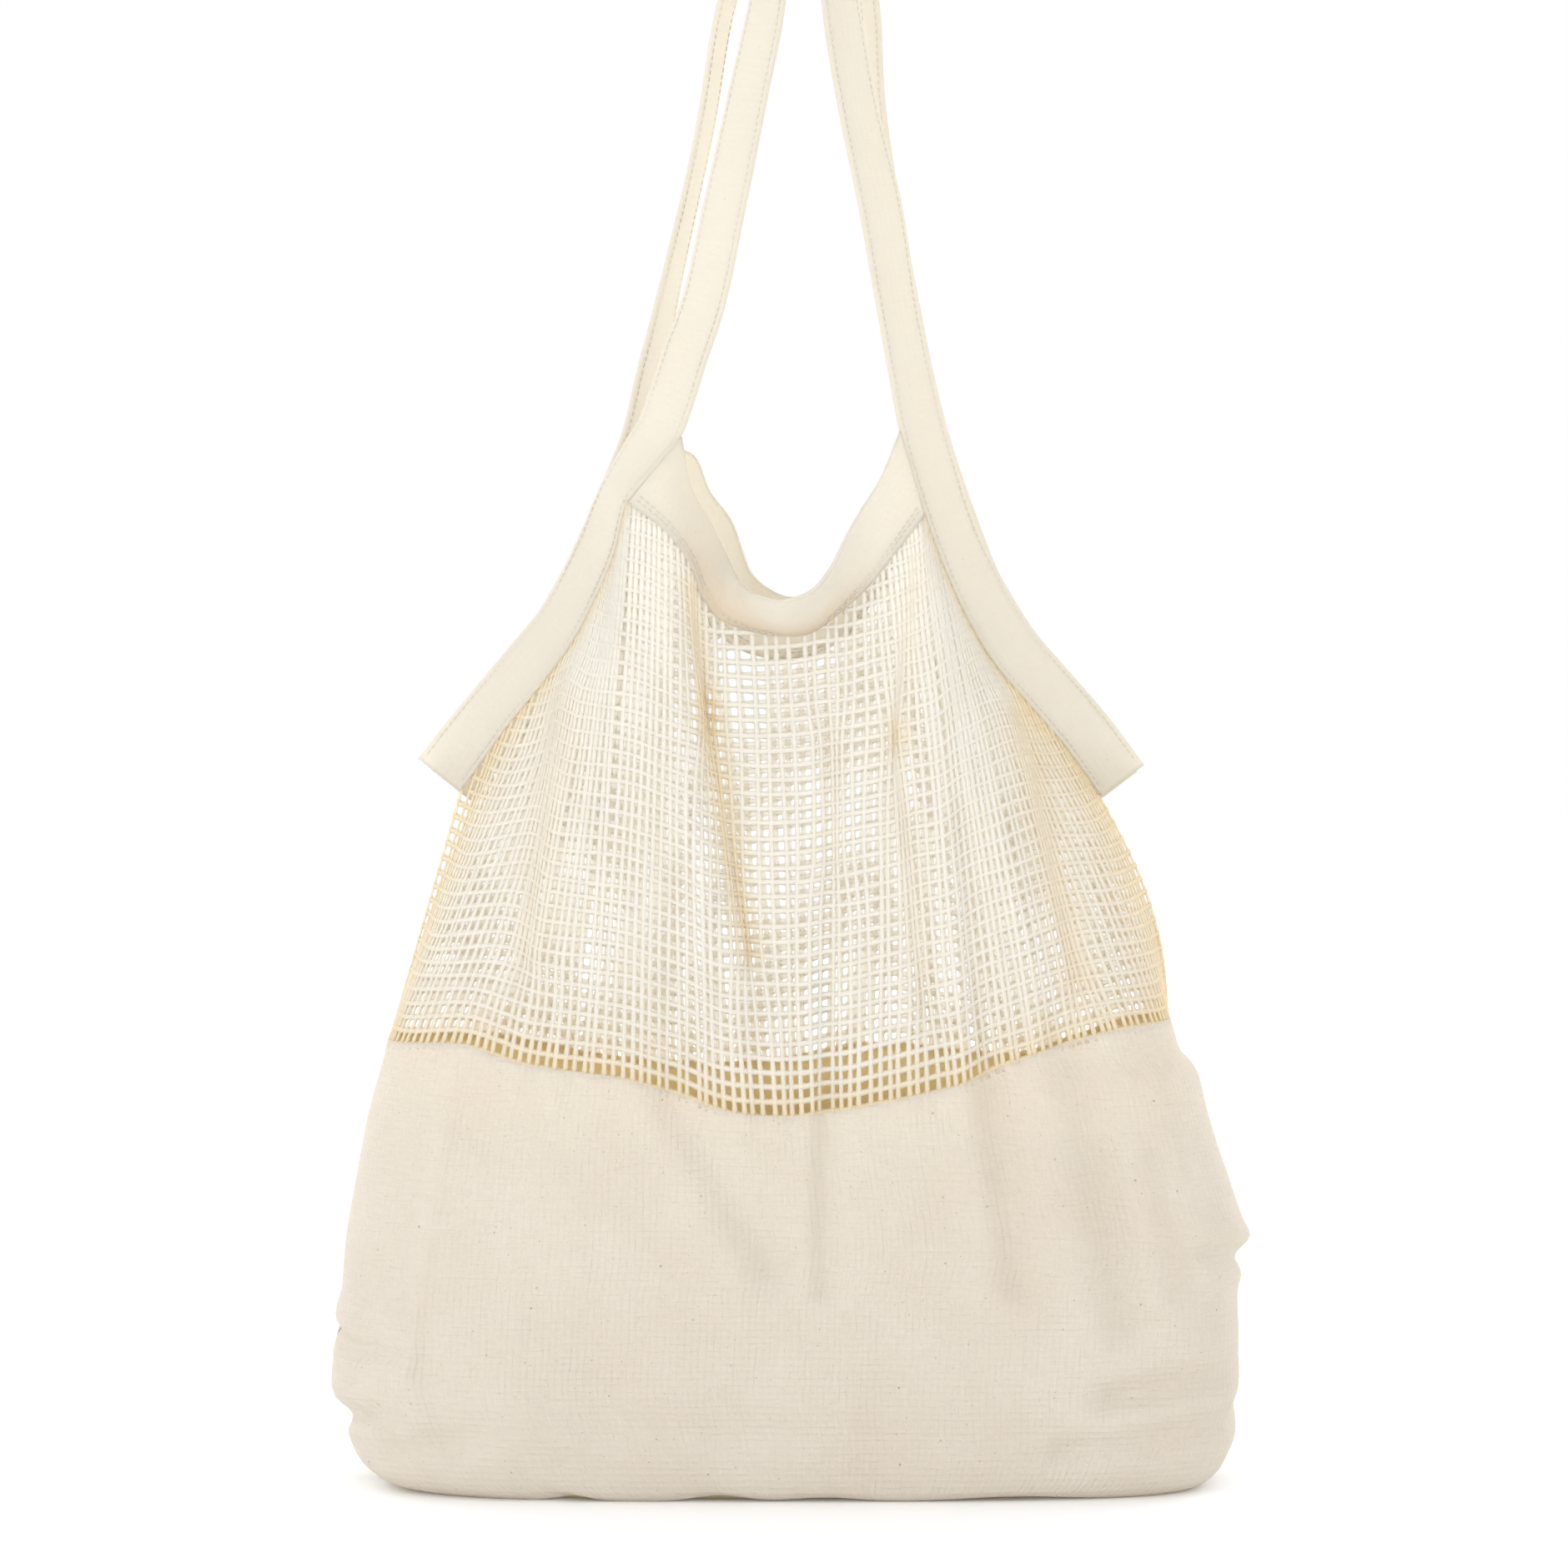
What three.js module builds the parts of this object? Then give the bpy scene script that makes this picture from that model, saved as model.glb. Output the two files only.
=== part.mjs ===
import * as THREE from "three";

// Sizes in millimetres. Heights are measured up from the floor under the base, and the last lines
// move the bag so that its hang point is the origin. The front faces -Y.

// Body
const BODY_WIDTH = 408;
const BODY_DEPTH = 128;
const POUCH_HEIGHT = 214;
const BODY_HEIGHT = 447;
const CANVAS_THICKNESS = 1.6;
const NET_THICKNESS = 1.6;

// Shoulder bands and handles, one tape for the front and one for the back
const STRAP_HEIGHT = 298;
const TAPE_WIDTH = 24;
const TAPE_THICKNESS = 2.4;
const TAPE_EDGE_ROUNDING = 0.7;
const LOOP_RADIUS = 9;
const LOOP_SHIFT = 7;
const LOOP_SPACING = 2;

// Neck rims
const RIM_THICKNESS = 2;

// Clearance between two pieces that are sewn edge to edge
const SEAM_GAP = 0.6;
const NET_SETBACK = 1.5;
const RIM_SETBACK = 2.6;

// Cloth swelling and folds
const NET_FRONT_SWELL = 5;
const NET_SIDE_SWELL = 8;
const FOLD_SPREAD = 12;
const FOLD_DEPTH = 5;

// Gaps cut through each net panel, and the share of their pitch that is thread
const GAPS_ACROSS = 10;
const GAPS_UP = 6;
const THREAD_SHARE = 0.28;

// Where the net's top edge passes from the shoulder bands to the rim, as shares of its width,
// and how strongly its threads crowd towards those two places
const NECK_LEFT = 0.3;
const NECK_RIGHT = 0.7;
const SHOULDER_GATHER = 0.7;
const RIM_GATHER = 0.4;

// Facets
const FRONT_COLUMNS = 36;
const BACK_COLUMNS = 22;
const OUTLINE_STEPS = 160;
const LEG_STATIONS = 25;
const LOOP_STEPS = 6;
const TANGENT_STEP = 0.002;
const RIM_STATIONS = 24;

const HALF_WIDTH = BODY_WIDTH / 2;
const HALF_DEPTH = BODY_DEPTH / 2;
const HANG_HEIGHT = BODY_HEIGHT + STRAP_HEIGHT;
const TAPE_MEETING = (TAPE_THICKNESS + SEAM_GAP) / 2;

const CANVAS_COLOUR = "#e6dcc7";
const NET_COLOUR = "#f4e6cb";
const TAPE_COLOUR = "#f2e8d6";

// The pouch outline at each height. Heights are shares of POUCH_HEIGHT, left and right of
// HALF_WIDTH, front and back of HALF_DEPTH; square is how boxy the outline is.
const POUCH_SECTIONS = [
  { height: 0.0, left: 0.83, right: 0.9, front: 0.8, back: 0.8, square: 3.4 },
  { height: 0.014, left: 0.895, right: 0.93, front: 0.86, back: 0.86, square: 3.5 },
  { height: 0.05, left: 0.94, right: 0.963, front: 0.91, back: 0.91, square: 3.6 },
  { height: 0.13, left: 0.972, right: 0.988, front: 0.97, back: 0.96, square: 3.8 },
  { height: 0.238, left: 1.003, right: 0.992, front: 1.0, back: 0.99, square: 4.0 },
  { height: 0.327, left: 0.994, right: 0.994, front: 1.02, back: 1.0, square: 4.0 },
  { height: 0.43, left: 0.984, right: 0.99, front: 1.03, back: 1.0, square: 4.0 },
  { height: 0.522, left: 0.976, right: 1.01, front: 1.03, back: 1.0, square: 4.0 },
  { height: 0.629, left: 0.957, right: 0.98, front: 1.02, back: 0.99, square: 4.0 },
  { height: 0.718, left: 0.94, right: 0.948, front: 1.0, back: 0.98, square: 3.9 },
  { height: 0.79, left: 0.925, right: 0.925, front: 0.99, back: 0.97, square: 3.8 },
  { height: 0.88, left: 0.899, right: 0.9, front: 0.98, back: 0.96, square: 3.7 },
  { height: 0.913, left: 0.889, right: 0.868, front: 0.97, back: 0.95, square: 3.7 },
  { height: 1.0, left: 0.872, right: 0.838, front: 0.94, back: 0.92, square: 3.6 },
];

// Rows of facets up the pouch wall, as shares of the seam height above each place
const POUCH_ROWS = [0, 0.015, 0.05, 0.1, 0.17, 0.25, 0.33, 0.42, 0.51, 0.6, 0.7, 0.8, 0.9, 1];

// Height of the seam between canvas and net, as a share of POUCH_HEIGHT, at places across
const FRONT_SEAM = [
  { across: -0.88, height: 0.945 },
  { across: -0.73, height: 0.955 },
  { across: -0.56, height: 0.915 },
  { across: -0.37, height: 0.89 },
  { across: -0.24, height: 0.853 },
  { across: -0.13, height: 0.82 },
  { across: -0.02, height: 0.81 },
  { across: 0.08, height: 0.82 },
  { across: 0.21, height: 0.846 },
  { across: 0.35, height: 0.877 },
  { across: 0.46, height: 0.915 },
  { across: 0.56, height: 0.945 },
  { across: 0.65, height: 0.967 },
  { across: 0.75, height: 0.985 },
  { across: 0.84, height: 0.99 },
];
const BACK_SEAM = [
  { across: -0.88, height: 0.945 },
  { across: -0.76, height: 0.932 },
  { across: -0.58, height: 0.903 },
  { across: -0.39, height: 0.865 },
  { across: -0.18, height: 0.85 },
  { across: -0.02, height: 0.862 },
  { across: 0.13, height: 0.89 },
  { across: 0.22, height: 0.896 },
  { across: 0.31, height: 0.884 },
  { across: 0.47, height: 0.872 },
  { across: 0.62, height: 0.91 },
  { across: 0.84, height: 0.985 },
];

// Valleys pressed into the front canvas, each along a line. Across is a share of HALF_WIDTH,
// up of POUCH_HEIGHT, spread of FOLD_SPREAD and depth of FOLD_DEPTH.
const CANVAS_FOLDS = [
  { across: -0.24, up: 0.84, toAcross: -0.03, toUp: 0.5, spread: 1.1, depth: 1.0 },
  { across: 0.08, up: 0.82, toAcross: 0.08, toUp: 0.45, spread: 0.8, depth: 0.8 },
  { across: 0.44, up: 0.87, toAcross: 0.5, toUp: 0.46, spread: 1.0, depth: 1.0 },
  { across: 0.63, up: 0.92, toAcross: 0.73, toUp: 0.38, spread: 1.4, depth: 1.3 },
  { across: 0.88, up: 0.88, toAcross: 0.92, toUp: 0.64, spread: 0.9, depth: 0.7 },
  { across: 0.73, up: 0.2, toAcross: 0.98, toUp: 0.28, spread: 0.9, depth: 0.9 },
  { across: -0.86, up: 0.1, toAcross: -0.7, toUp: 0.13, spread: 0.8, depth: 0.8 },
  { across: -0.4, up: 0.16, toAcross: 0.5, toUp: 0.13, spread: 0.8, depth: 0.4 },
];

// Valleys pressed into the front net; up is a share of BODY_HEIGHT
const NET_FOLDS = [
  { across: -0.215, up: 0.91, toAcross: -0.18, toUp: 0.78, spread: 0.7, depth: 1.0 },
  { across: -0.18, up: 0.78, toAcross: -0.09, toUp: 0.55, spread: 0.9, depth: 1.2 },
  { across: 0.27, up: 0.93, toAcross: 0.23, toUp: 0.76, spread: 0.9, depth: 1.0 },
  { across: 0.23, up: 0.76, toAcross: 0.29, toUp: 0.5, spread: 0.9, depth: 1.0 },
  { across: 0.1, up: 0.75, toAcross: 0.1, toUp: 0.65, spread: 1.0, depth: 0.6 },
  { across: 0.5, up: 0.78, toAcross: 0.62, toUp: 0.52, spread: 1.2, depth: 1.0 },
  { across: -0.5, up: 0.8, toAcross: -0.56, toUp: 0.55, spread: 1.3, depth: 0.7 },
];

// The middle line of each tape from its left lower end to its right one. Across is a share of
// HALF_WIDTH and depth of HALF_DEPTH. Level runs 0 to 1 over BODY_HEIGHT and 1 to 2 over
// STRAP_HEIGHT. Face is how far the tape is turned to the side, in degrees.
const FRONT_TAPE = {
  left: [
    { across: -0.768, depth: 0, level: 0.717, face: 0 },
    { across: -0.668, depth: 0.118, level: 0.776, face: 22 },
    { across: -0.562, depth: 0.243, level: 0.834, face: 27 },
    { across: -0.506, depth: 0.305, level: 0.867, face: 34 },
    { across: -0.458, depth: 0.352, level: 0.907, face: 38 },
    { across: -0.415, depth: 0.384, level: 0.95, face: 42 },
    { across: -0.377, depth: 0.399, level: 0.999, face: 54, joins: "rim low" },
    { across: -0.326, depth: 0.42, level: 1.05, face: 44 },
    { across: -0.275, depth: 0.44, level: 1.1, face: 34, joins: "rim top" },
    { across: -0.249, depth: 0.446, level: 1.15, face: 33 },
    { across: -0.224, depth: 0.43, level: 1.205, face: 34 },
    { across: -0.19, depth: 0.405, level: 1.27, face: 37 },
    { across: -0.139, depth: 0.368, level: 1.421, face: 40 },
    { across: -0.092, depth: 0.305, level: 1.575, face: 44 },
    { across: -0.045, depth: 0.259, level: 1.73, face: 51 },
  ],
  right: [
    { across: 0.112, depth: 0.259, level: 1.73, face: 48 },
    { across: 0.15, depth: 0.29, level: 1.575, face: 45 },
    { across: 0.2, depth: 0.352, level: 1.421, face: 38 },
    { across: 0.239, depth: 0.385, level: 1.265, face: 42 },
    { across: 0.262, depth: 0.42, level: 1.18, face: 40 },
    { across: 0.288, depth: 0.43, level: 1.1, face: 34, joins: "rim top" },
    { across: 0.318, depth: 0.425, level: 1.03, face: 32 },
    { across: 0.342, depth: 0.42, level: 0.986, face: 33, joins: "rim low" },
    { across: 0.38, depth: 0.399, level: 0.94, face: 31 },
    { across: 0.438, depth: 0.352, level: 0.886, face: 22 },
    { across: 0.495, depth: 0.305, level: 0.845, face: 18 },
    { across: 0.554, depth: 0.243, level: 0.814, face: 17 },
    { across: 0.648, depth: 0.118, level: 0.765, face: 14 },
    { across: 0.736, depth: 0, level: 0.711, face: 0 },
  ],
};
const BACK_TAPE = {
  left: [
    { across: -0.742, depth: 0, level: 0.705, face: 0 },
    { across: -0.64, depth: 0.118, level: 0.764, face: 20 },
    { across: -0.535, depth: 0.243, level: 0.822, face: 22 },
    { across: -0.483, depth: 0.305, level: 0.86, face: 20 },
    { across: -0.44, depth: 0.352, level: 0.902, face: 18 },
    { across: -0.405, depth: 0.384, level: 0.95, face: 28 },
    { across: -0.372, depth: 0.399, level: 1.005, face: 46, joins: "rim low" },
    { across: -0.333, depth: 0.415, level: 1.076, face: 51, joins: "rim top" },
    { across: -0.298, depth: 0.399, level: 1.193, face: 62 },
    { across: -0.268, depth: 0.368, level: 1.293, face: 70 },
    { across: -0.221, depth: 0.321, level: 1.427, face: 75 },
    { across: -0.174, depth: 0.274, level: 1.583, face: 75 },
    { across: -0.134, depth: 0.243, level: 1.738, face: 75 },
  ],
  right: [
    { across: 0.178, depth: 0.243, level: 1.738, face: 75 },
    { across: 0.193, depth: 0.274, level: 1.583, face: 74 },
    { across: 0.219, depth: 0.321, level: 1.427, face: 65 },
    { across: 0.249, depth: 0.368, level: 1.293, face: 54 },
    { across: 0.283, depth: 0.399, level: 1.158, face: 44 },
    { across: 0.318, depth: 0.415, level: 1.062, face: 40, joins: "rim top" },
    { across: 0.36, depth: 0.392, level: 0.985, face: 42, joins: "rim low" },
    { across: 0.43, depth: 0.337, level: 0.9, face: 33 },
    { across: 0.535, depth: 0.243, level: 0.812, face: 20 },
    { across: 0.638, depth: 0.118, level: 0.754, face: 14 },
    { across: 0.722, depth: 0, level: 0.703, face: 0 },
  ],
};

// The two long edges of each rim between its ends, which lie against the tape. Columns as above.
const FRONT_RIM = {
  low: [
    { across: -0.269, depth: 0.594, level: 0.963 },
    { across: -0.218, depth: 0.562, level: 0.932 },
    { across: -0.188, depth: 0.516, level: 0.897 },
    { across: -0.15, depth: 0.484, level: 0.876 },
    { across: -0.095, depth: 0.469, level: 0.866 },
    { across: -0.02, depth: 0.469, level: 0.86 },
    { across: 0.045, depth: 0.469, level: 0.864 },
    { across: 0.101, depth: 0.484, level: 0.879 },
    { across: 0.163, depth: 0.516, level: 0.904 },
    { across: 0.229, depth: 0.562, level: 0.94 },
  ],
  top: [
    { across: -0.211, depth: 0.34, level: 1.002 },
    { across: -0.177, depth: 0.26, level: 0.974 },
    { across: -0.142, depth: 0.23, level: 0.939 },
    { across: -0.108, depth: 0.42, level: 0.915 },
    { across: -0.07, depth: 0.68, level: 0.901 },
    { across: -0.007, depth: 0.83, level: 0.897 },
    { across: 0.054, depth: 0.812, level: 0.906 },
    { across: 0.09, depth: 0.75, level: 0.924 },
    { across: 0.118, depth: 0.69, level: 0.953 },
    { across: 0.155, depth: 0.63, level: 0.983 },
    { across: 0.195, depth: 0.6, level: 1.018 },
  ],
};
const BACK_RIM = {
  low: [
    { across: -0.275, depth: 0.594, level: 0.96 },
    { across: -0.23, depth: 0.562, level: 0.922 },
    { across: -0.201, depth: 0.531, level: 0.888 },
    { across: -0.162, depth: 0.5, level: 0.857 },
    { across: -0.098, depth: 0.484, level: 0.837 },
    { across: -0.01, depth: 0.469, level: 0.83 },
    { across: 0.059, depth: 0.469, level: 0.834 },
    { across: 0.127, depth: 0.484, level: 0.852 },
    { across: 0.186, depth: 0.516, level: 0.886 },
    { across: 0.24, depth: 0.562, level: 0.926 },
  ],
  top: [
    { across: -0.215, depth: 0.56, level: 1.057 },
    { across: -0.174, depth: 0.531, level: 1.0 },
    { across: -0.125, depth: 0.484, level: 0.969 },
    { across: -0.1, depth: 0.453, level: 0.937 },
    { across: -0.083, depth: 0.438, level: 0.918 },
    { across: -0.044, depth: 0.422, level: 0.902 },
    { across: 0.0, depth: 0.422, level: 0.893 },
    { across: 0.049, depth: 0.422, level: 0.895 },
    { across: 0.098, depth: 0.438, level: 0.911 },
    { across: 0.142, depth: 0.469, level: 0.937 },
    { across: 0.181, depth: 0.516, level: 0.971 },
    { across: 0.221, depth: 0.562, level: 1.013 },
  ],
};

// Smooth values and curves

// One column of a table at a value of its key column.
function readTable(rows, key, value, column) {
  const last = rows.length - 1;
  const held = Math.min(Math.max(value, rows[0][key]), rows[last][key]);
  let row = 0;
  while (row < last - 1 && held > rows[row + 1][key]) {
    row += 1;
  }
  const share = (held - rows[row][key]) / (rows[row + 1][key] - rows[row][key]);
  return THREE.MathUtils.lerp(rows[row][column], rows[row + 1][column], share);
}

// A smooth curve through points, with the face angle carried along in the fourth number.
// It is read at a share of its length.
function curveThrough(points) {
  const reach = [0];
  for (let i = 1; i < points.length; i += 1) {
    const [ax, ay, az] = points[i - 1];
    const [bx, by, bz] = points[i];
    reach.push(reach[i - 1] + Math.hypot(bx - ax, by - ay, bz - az));
  }
  const total = reach[reach.length - 1];
  const last = points.length - 1;
  const slopes = points.map((point, i) => {
    const before = Math.max(i - 1, 0);
    const after = Math.min(i + 1, last);
    const stepBack = i - before ? reach[i] - reach[before] : 1;
    const stepOn = after - i ? reach[after] - reach[i] : 1;
    return point.map((value, k) => {
      const back = (value - points[before][k]) / stepBack;
      const on = (points[after][k] - value) / stepOn;
      if (i === 0) return on;
      if (i === last) return back;
      return (back * stepOn + on * stepBack) / (stepOn + stepBack);
    });
  });
  const at = (share) => {
    const distance = share * total;
    let i = 0;
    while (i < last - 1 && distance > reach[i + 1]) {
      i += 1;
    }
    const span = reach[i + 1] - reach[i];
    const f = (distance - reach[i]) / span;
    const start = 1 - f * f * (3 - 2 * f);
    const leave = f * (1 - f) * (1 - f) * span;
    const arrive = f * f * (f - 1) * span;
    return points[i].map((value, k) =>
      value * start + points[i + 1][k] * (1 - start)
        + slopes[i][k] * leave + slopes[i + 1][k] * arrive);
  };
  return { at, places: reach.map((distance) => distance / total) };
}

// The height of a level: 0 to 1 over the body, 1 to 2 over the straps.
function heightOf(level) {
  return Math.min(level, 1) * BODY_HEIGHT + Math.max(level - 1, 0) * STRAP_HEIGHT;
}

// How far cloth is pressed in at a place by the valleys of a table.
function pressedIn(folds, x, z, tall) {
  let depth = 0;
  for (const fold of folds) {
    const startX = fold.across * HALF_WIDTH;
    const startZ = fold.up * tall;
    const runX = fold.toAcross * HALF_WIDTH - startX;
    const runZ = fold.toUp * tall - startZ;
    const along = ((x - startX) * runX + (z - startZ) * runZ) / (runX * runX + runZ * runZ);
    const held = Math.min(Math.max(along, 0), 1);
    const away = Math.hypot(x - startX - runX * held, z - startZ - runZ * held);
    depth += fold.depth * FOLD_DEPTH * Math.exp(-((away / (fold.spread * FOLD_SPREAD)) ** 2));
  }
  return depth;
}

// Grids of points and the solids made from them

// Each point of a grid moved along the surface's own normal. A ring's last column joins its first.
function offsetGrid(grid, distance, ring) {
  return grid.map((row, r) => row.map((point, c) => {
    const count = row.length;
    const before = ring ? row[(c + count - 1) % count] : row[Math.max(c - 1, 0)];
    const after = ring ? row[(c + 1) % count] : row[Math.min(c + 1, count - 1)];
    const below = grid[Math.max(r - 1, 0)][c];
    const above = grid[Math.min(r + 1, grid.length - 1)][c];
    const along = after.clone().sub(before);
    const up = above.clone().sub(below);
    return along.cross(up).normalize().multiplyScalar(distance).add(point);
  }));
}

function geometryOf(points, faces) {
  const positions = points.flatMap((point) => [point.x, point.y, point.z]);
  const geometry = new THREE.BufferGeometry();
  geometry.setAttribute("position", new THREE.Float32BufferAttribute(positions, 3));
  geometry.setIndex(faces.flat());
  return geometry;
}

// A sheet of even thickness about a grid of points; keep says which of its squares are cloth.
function sheetAbout(grid, thickness, keep) {
  const outer = offsetGrid(grid, thickness / 2, false);
  const inner = offsetGrid(grid, -thickness / 2, false);
  const columns = grid[0].length;
  const under = grid.length * columns;
  const faces = [];
  const kept = (r, c) => r >= 0 && c >= 0 && r < grid.length - 1 && c < columns - 1 && keep(r, c);
  for (let r = 0; r < grid.length - 1; r += 1) {
    for (let c = 0; c < columns - 1; c += 1) {
      if (!kept(r, c)) continue;
      const corners = [
        r * columns + c,
        r * columns + c + 1,
        (r + 1) * columns + c + 1,
        (r + 1) * columns + c,
      ];
      const [a, b, d, e] = corners;
      faces.push([a, b, d], [a, d, e]);
      faces.push([a + under, d + under, b + under], [a + under, e + under, d + under]);
      const beside = [kept(r - 1, c), kept(r, c + 1), kept(r + 1, c), kept(r, c - 1)];
      beside.forEach((joined, side) => {
        if (joined) return;
        const from = corners[side];
        const to = corners[(side + 1) % 4];
        faces.push([to, from, from + under], [to, from + under, to + under]);
      });
    }
  }
  return geometryOf([...outer.flat(), ...inner.flat()], faces);
}

// Canvas pouch

// One half of the pouch outline at a height, from the left side to the right one, as points at
// equal steps along it.
function halfOutline(height, front, steps) {
  const read = (column) => readTable(POUCH_SECTIONS, "height", height / POUCH_HEIGHT, column);
  const left = read("left") * HALF_WIDTH;
  const right = read("right") * HALF_WIDTH;
  const deep = read(front ? "front" : "back") * HALF_DEPTH * (front ? -1 : 1);
  const square = read("square");
  const walk = [];
  for (let i = 0; i <= OUTLINE_STEPS; i += 1) {
    const turn = (i / OUTLINE_STEPS) * Math.PI;
    const cos = -Math.cos(turn);
    const sin = Math.sin(turn);
    const grown = (Math.abs(cos) ** square + sin ** square) ** (1 / square);
    walk.push([(cos < 0 ? left : right) * cos / grown, deep * sin / grown, height]);
  }
  const curve = curveThrough(walk);
  return Array.from({ length: steps + 1 }, (unused, i) => curve.at(i / steps));
}

function pouchGrid() {
  const seamLevel = POUCH_HEIGHT * FRONT_SEAM[0].height;
  const halves = [
    { front: true, steps: FRONT_COLUMNS, seam: FRONT_SEAM },
    { front: false, steps: BACK_COLUMNS, seam: BACK_SEAM },
  ].map((half) => {
    const top = halfOutline(seamLevel, half.front, half.steps);
    const seams = top.map(([x]) =>
      readTable(half.seam, "across", x / HALF_WIDTH, "height") * POUCH_HEIGHT);
    return { ...half, seams };
  });
  return POUCH_ROWS.map((share) => halves.flatMap((half) => {
    const line = half.seams.map((seam, i) => {
      const height = share * seam;
      const [x, y, z] = halfOutline(height, half.front, half.steps)[i];
      const press = half.front ? pressedIn(CANVAS_FOLDS, x, z, POUCH_HEIGHT) : 0;
      const facing = Math.min(Math.abs(y) / HALF_DEPTH, 1);
      const settled = Math.min(share / POUCH_ROWS[3], 1);
      return new THREE.Vector3(x, y + press * facing * settled, z);
    });
    return half.front ? line.slice(0, -1) : line.slice(1).reverse();
  }));
}

const pouchOuter = pouchGrid();
const pouchInner = offsetGrid(pouchOuter, -CANVAS_THICKNESS, true).map((row, r) =>
  row.map((point) => {
    const flat = r === 0 ? CANVAS_THICKNESS : Math.max(point.z, CANVAS_THICKNESS + r / 2);
    return new THREE.Vector3(point.x, point.y, r === POUCH_ROWS.length - 1 ? point.z : flat);
  }));

function pouch() {
  const rows = pouchOuter.length;
  const columns = pouchOuter[0].length;
  const inside = rows * columns;
  const faces = [];
  const corner = (r, c) => r * columns + (c % columns);
  for (let r = 0; r < rows - 1; r += 1) {
    for (let c = 0; c < columns; c += 1) {
      const [a, b, d, e] = [corner(r, c), corner(r, c + 1), corner(r + 1, c + 1), corner(r + 1, c)];
      faces.push([a, b, d], [a, d, e]);
      faces.push([a + inside, d + inside, b + inside], [a + inside, e + inside, d + inside]);
    }
  }
  const underMiddle = 2 * inside;
  const floorMiddle = underMiddle + 1;
  for (let c = 0; c < columns; c += 1) {
    const from = corner(rows - 1, c);
    const to = corner(rows - 1, c + 1);
    faces.push([from, to, to + inside], [from, to + inside, from + inside]);
    faces.push([underMiddle, corner(0, c + 1), corner(0, c)]);
    faces.push([floorMiddle, corner(0, c) + inside, corner(0, c + 1) + inside]);
  }
  const middles = [new THREE.Vector3(0, 0, 0), new THREE.Vector3(0, 0, CANVAS_THICKNESS)];
  return geometryOf([...pouchOuter.flat(), ...pouchInner.flat(), ...middles], faces);
}

// Tapes

// The middle line of a tape, which rises from one side, loops over the hang point and comes down.
function tapeLine(table, side) {
  const place = (row) => [
    row.across * HALF_WIDTH,
    side * (TAPE_MEETING + row.depth * HALF_DEPTH),
    heightOf(row.level),
    row.face,
  ];
  const round = LOOP_RADIUS + TAPE_THICKNESS / 2;
  const loop = [];
  for (let i = 0; i <= LOOP_STEPS; i += 1) {
    const turn = (i / LOOP_STEPS) * Math.PI;
    loop.push([
      LOOP_SHIFT - round * Math.cos(turn),
      side * (TAPE_WIDTH + LOOP_SPACING) / 2,
      HANG_HEIGHT - LOOP_RADIUS + round * Math.sin(turn),
      90,
    ]);
  }
  const curve = curveThrough([...table.left.map(place), ...loop, ...table.right.map(place)]);
  const skipped = table.left.length + loop.length;
  const joinOf = (rows, name, start) =>
    curve.places[start + rows.findIndex((row) => row.joins === name)];
  const loopStart = curve.places[table.left.length];
  const loopEnd = curve.places[skipped - 1];
  const stations = [];
  for (let i = 0; i < LEG_STATIONS; i += 1) {
    stations.push((i / LEG_STATIONS) * loopStart);
  }
  for (let i = 0; i <= LOOP_STEPS; i += 1) {
    stations.push(THREE.MathUtils.lerp(loopStart, loopEnd, i / LOOP_STEPS));
  }
  for (let i = 1; i <= LEG_STATIONS; i += 1) {
    stations.push(THREE.MathUtils.lerp(loopEnd, 1, i / LEG_STATIONS));
  }
  return {
    side,
    stations,
    at: curve.at,
    rimLow: [joinOf(table.left, "rim low", 0), joinOf(table.right, "rim low", skipped)],
    rimTop: [joinOf(table.left, "rim top", 0), joinOf(table.right, "rim top", skipped)],
  };
}

// The middle of a tape at a share of its length, with the directions across it and through it.
// Across points from the edge sewn to the bag to the free edge.
function tapeFrame(line, share) {
  const before = line.at(Math.max(share - TANGENT_STEP, 0));
  const after = line.at(Math.min(share + TANGENT_STEP, 1));
  const [x, y, z, face] = line.at(share);
  const ahead = new THREE.Vector3(after[0] - before[0], after[1] - before[1], after[2] - before[2]);
  ahead.normalize();
  const turned = THREE.MathUtils.degToRad(face);
  const across = new THREE.Vector3(-ahead.z, 0, ahead.x).normalize().multiplyScalar(Math.cos(turned));
  across.y = -line.side * Math.sin(turned);
  across.addScaledVector(ahead, -across.dot(ahead)).normalize();
  return { middle: new THREE.Vector3(x, y, z), across, through: ahead.cross(across) };
}

// The edge of a tape that is sewn to the bag, moved off it by a gap.
function sewnEdge(line, share, gap) {
  const { middle, across } = tapeFrame(line, share);
  return middle.addScaledVector(across, -(TAPE_WIDTH / 2 + gap));
}

function tape(line) {
  const half = TAPE_WIDTH / 2;
  const thick = TAPE_THICKNESS / 2;
  const cut = TAPE_EDGE_ROUNDING;
  const section = [
    [-half, -thick + cut], [-half + cut, -thick], [half - cut, -thick], [half, -thick + cut],
    [half, thick - cut], [half - cut, thick], [-half + cut, thick], [-half, thick - cut],
  ];
  const points = [];
  const faces = [];
  const size = section.length;
  for (const station of line.stations) {
    const { middle, across, through } = tapeFrame(line, station);
    for (const [wide, deep] of section) {
      points.push(middle.clone().addScaledVector(across, wide).addScaledVector(through, deep));
    }
  }
  const spans = line.stations.length - 1;
  for (let i = 0; i < spans; i += 1) {
    for (let k = 0; k < size; k += 1) {
      const a = i * size + k;
      const b = i * size + ((k + 1) % size);
      faces.push([a, b, b + size], [a, b + size, a + size]);
    }
  }
  const end = spans * size;
  for (let k = 1; k < size - 1; k += 1) {
    faces.push([0, k + 1, k], [end, end + k, end + k + 1]);
  }
  return geometryOf(points, faces);
}

// Rims

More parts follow.
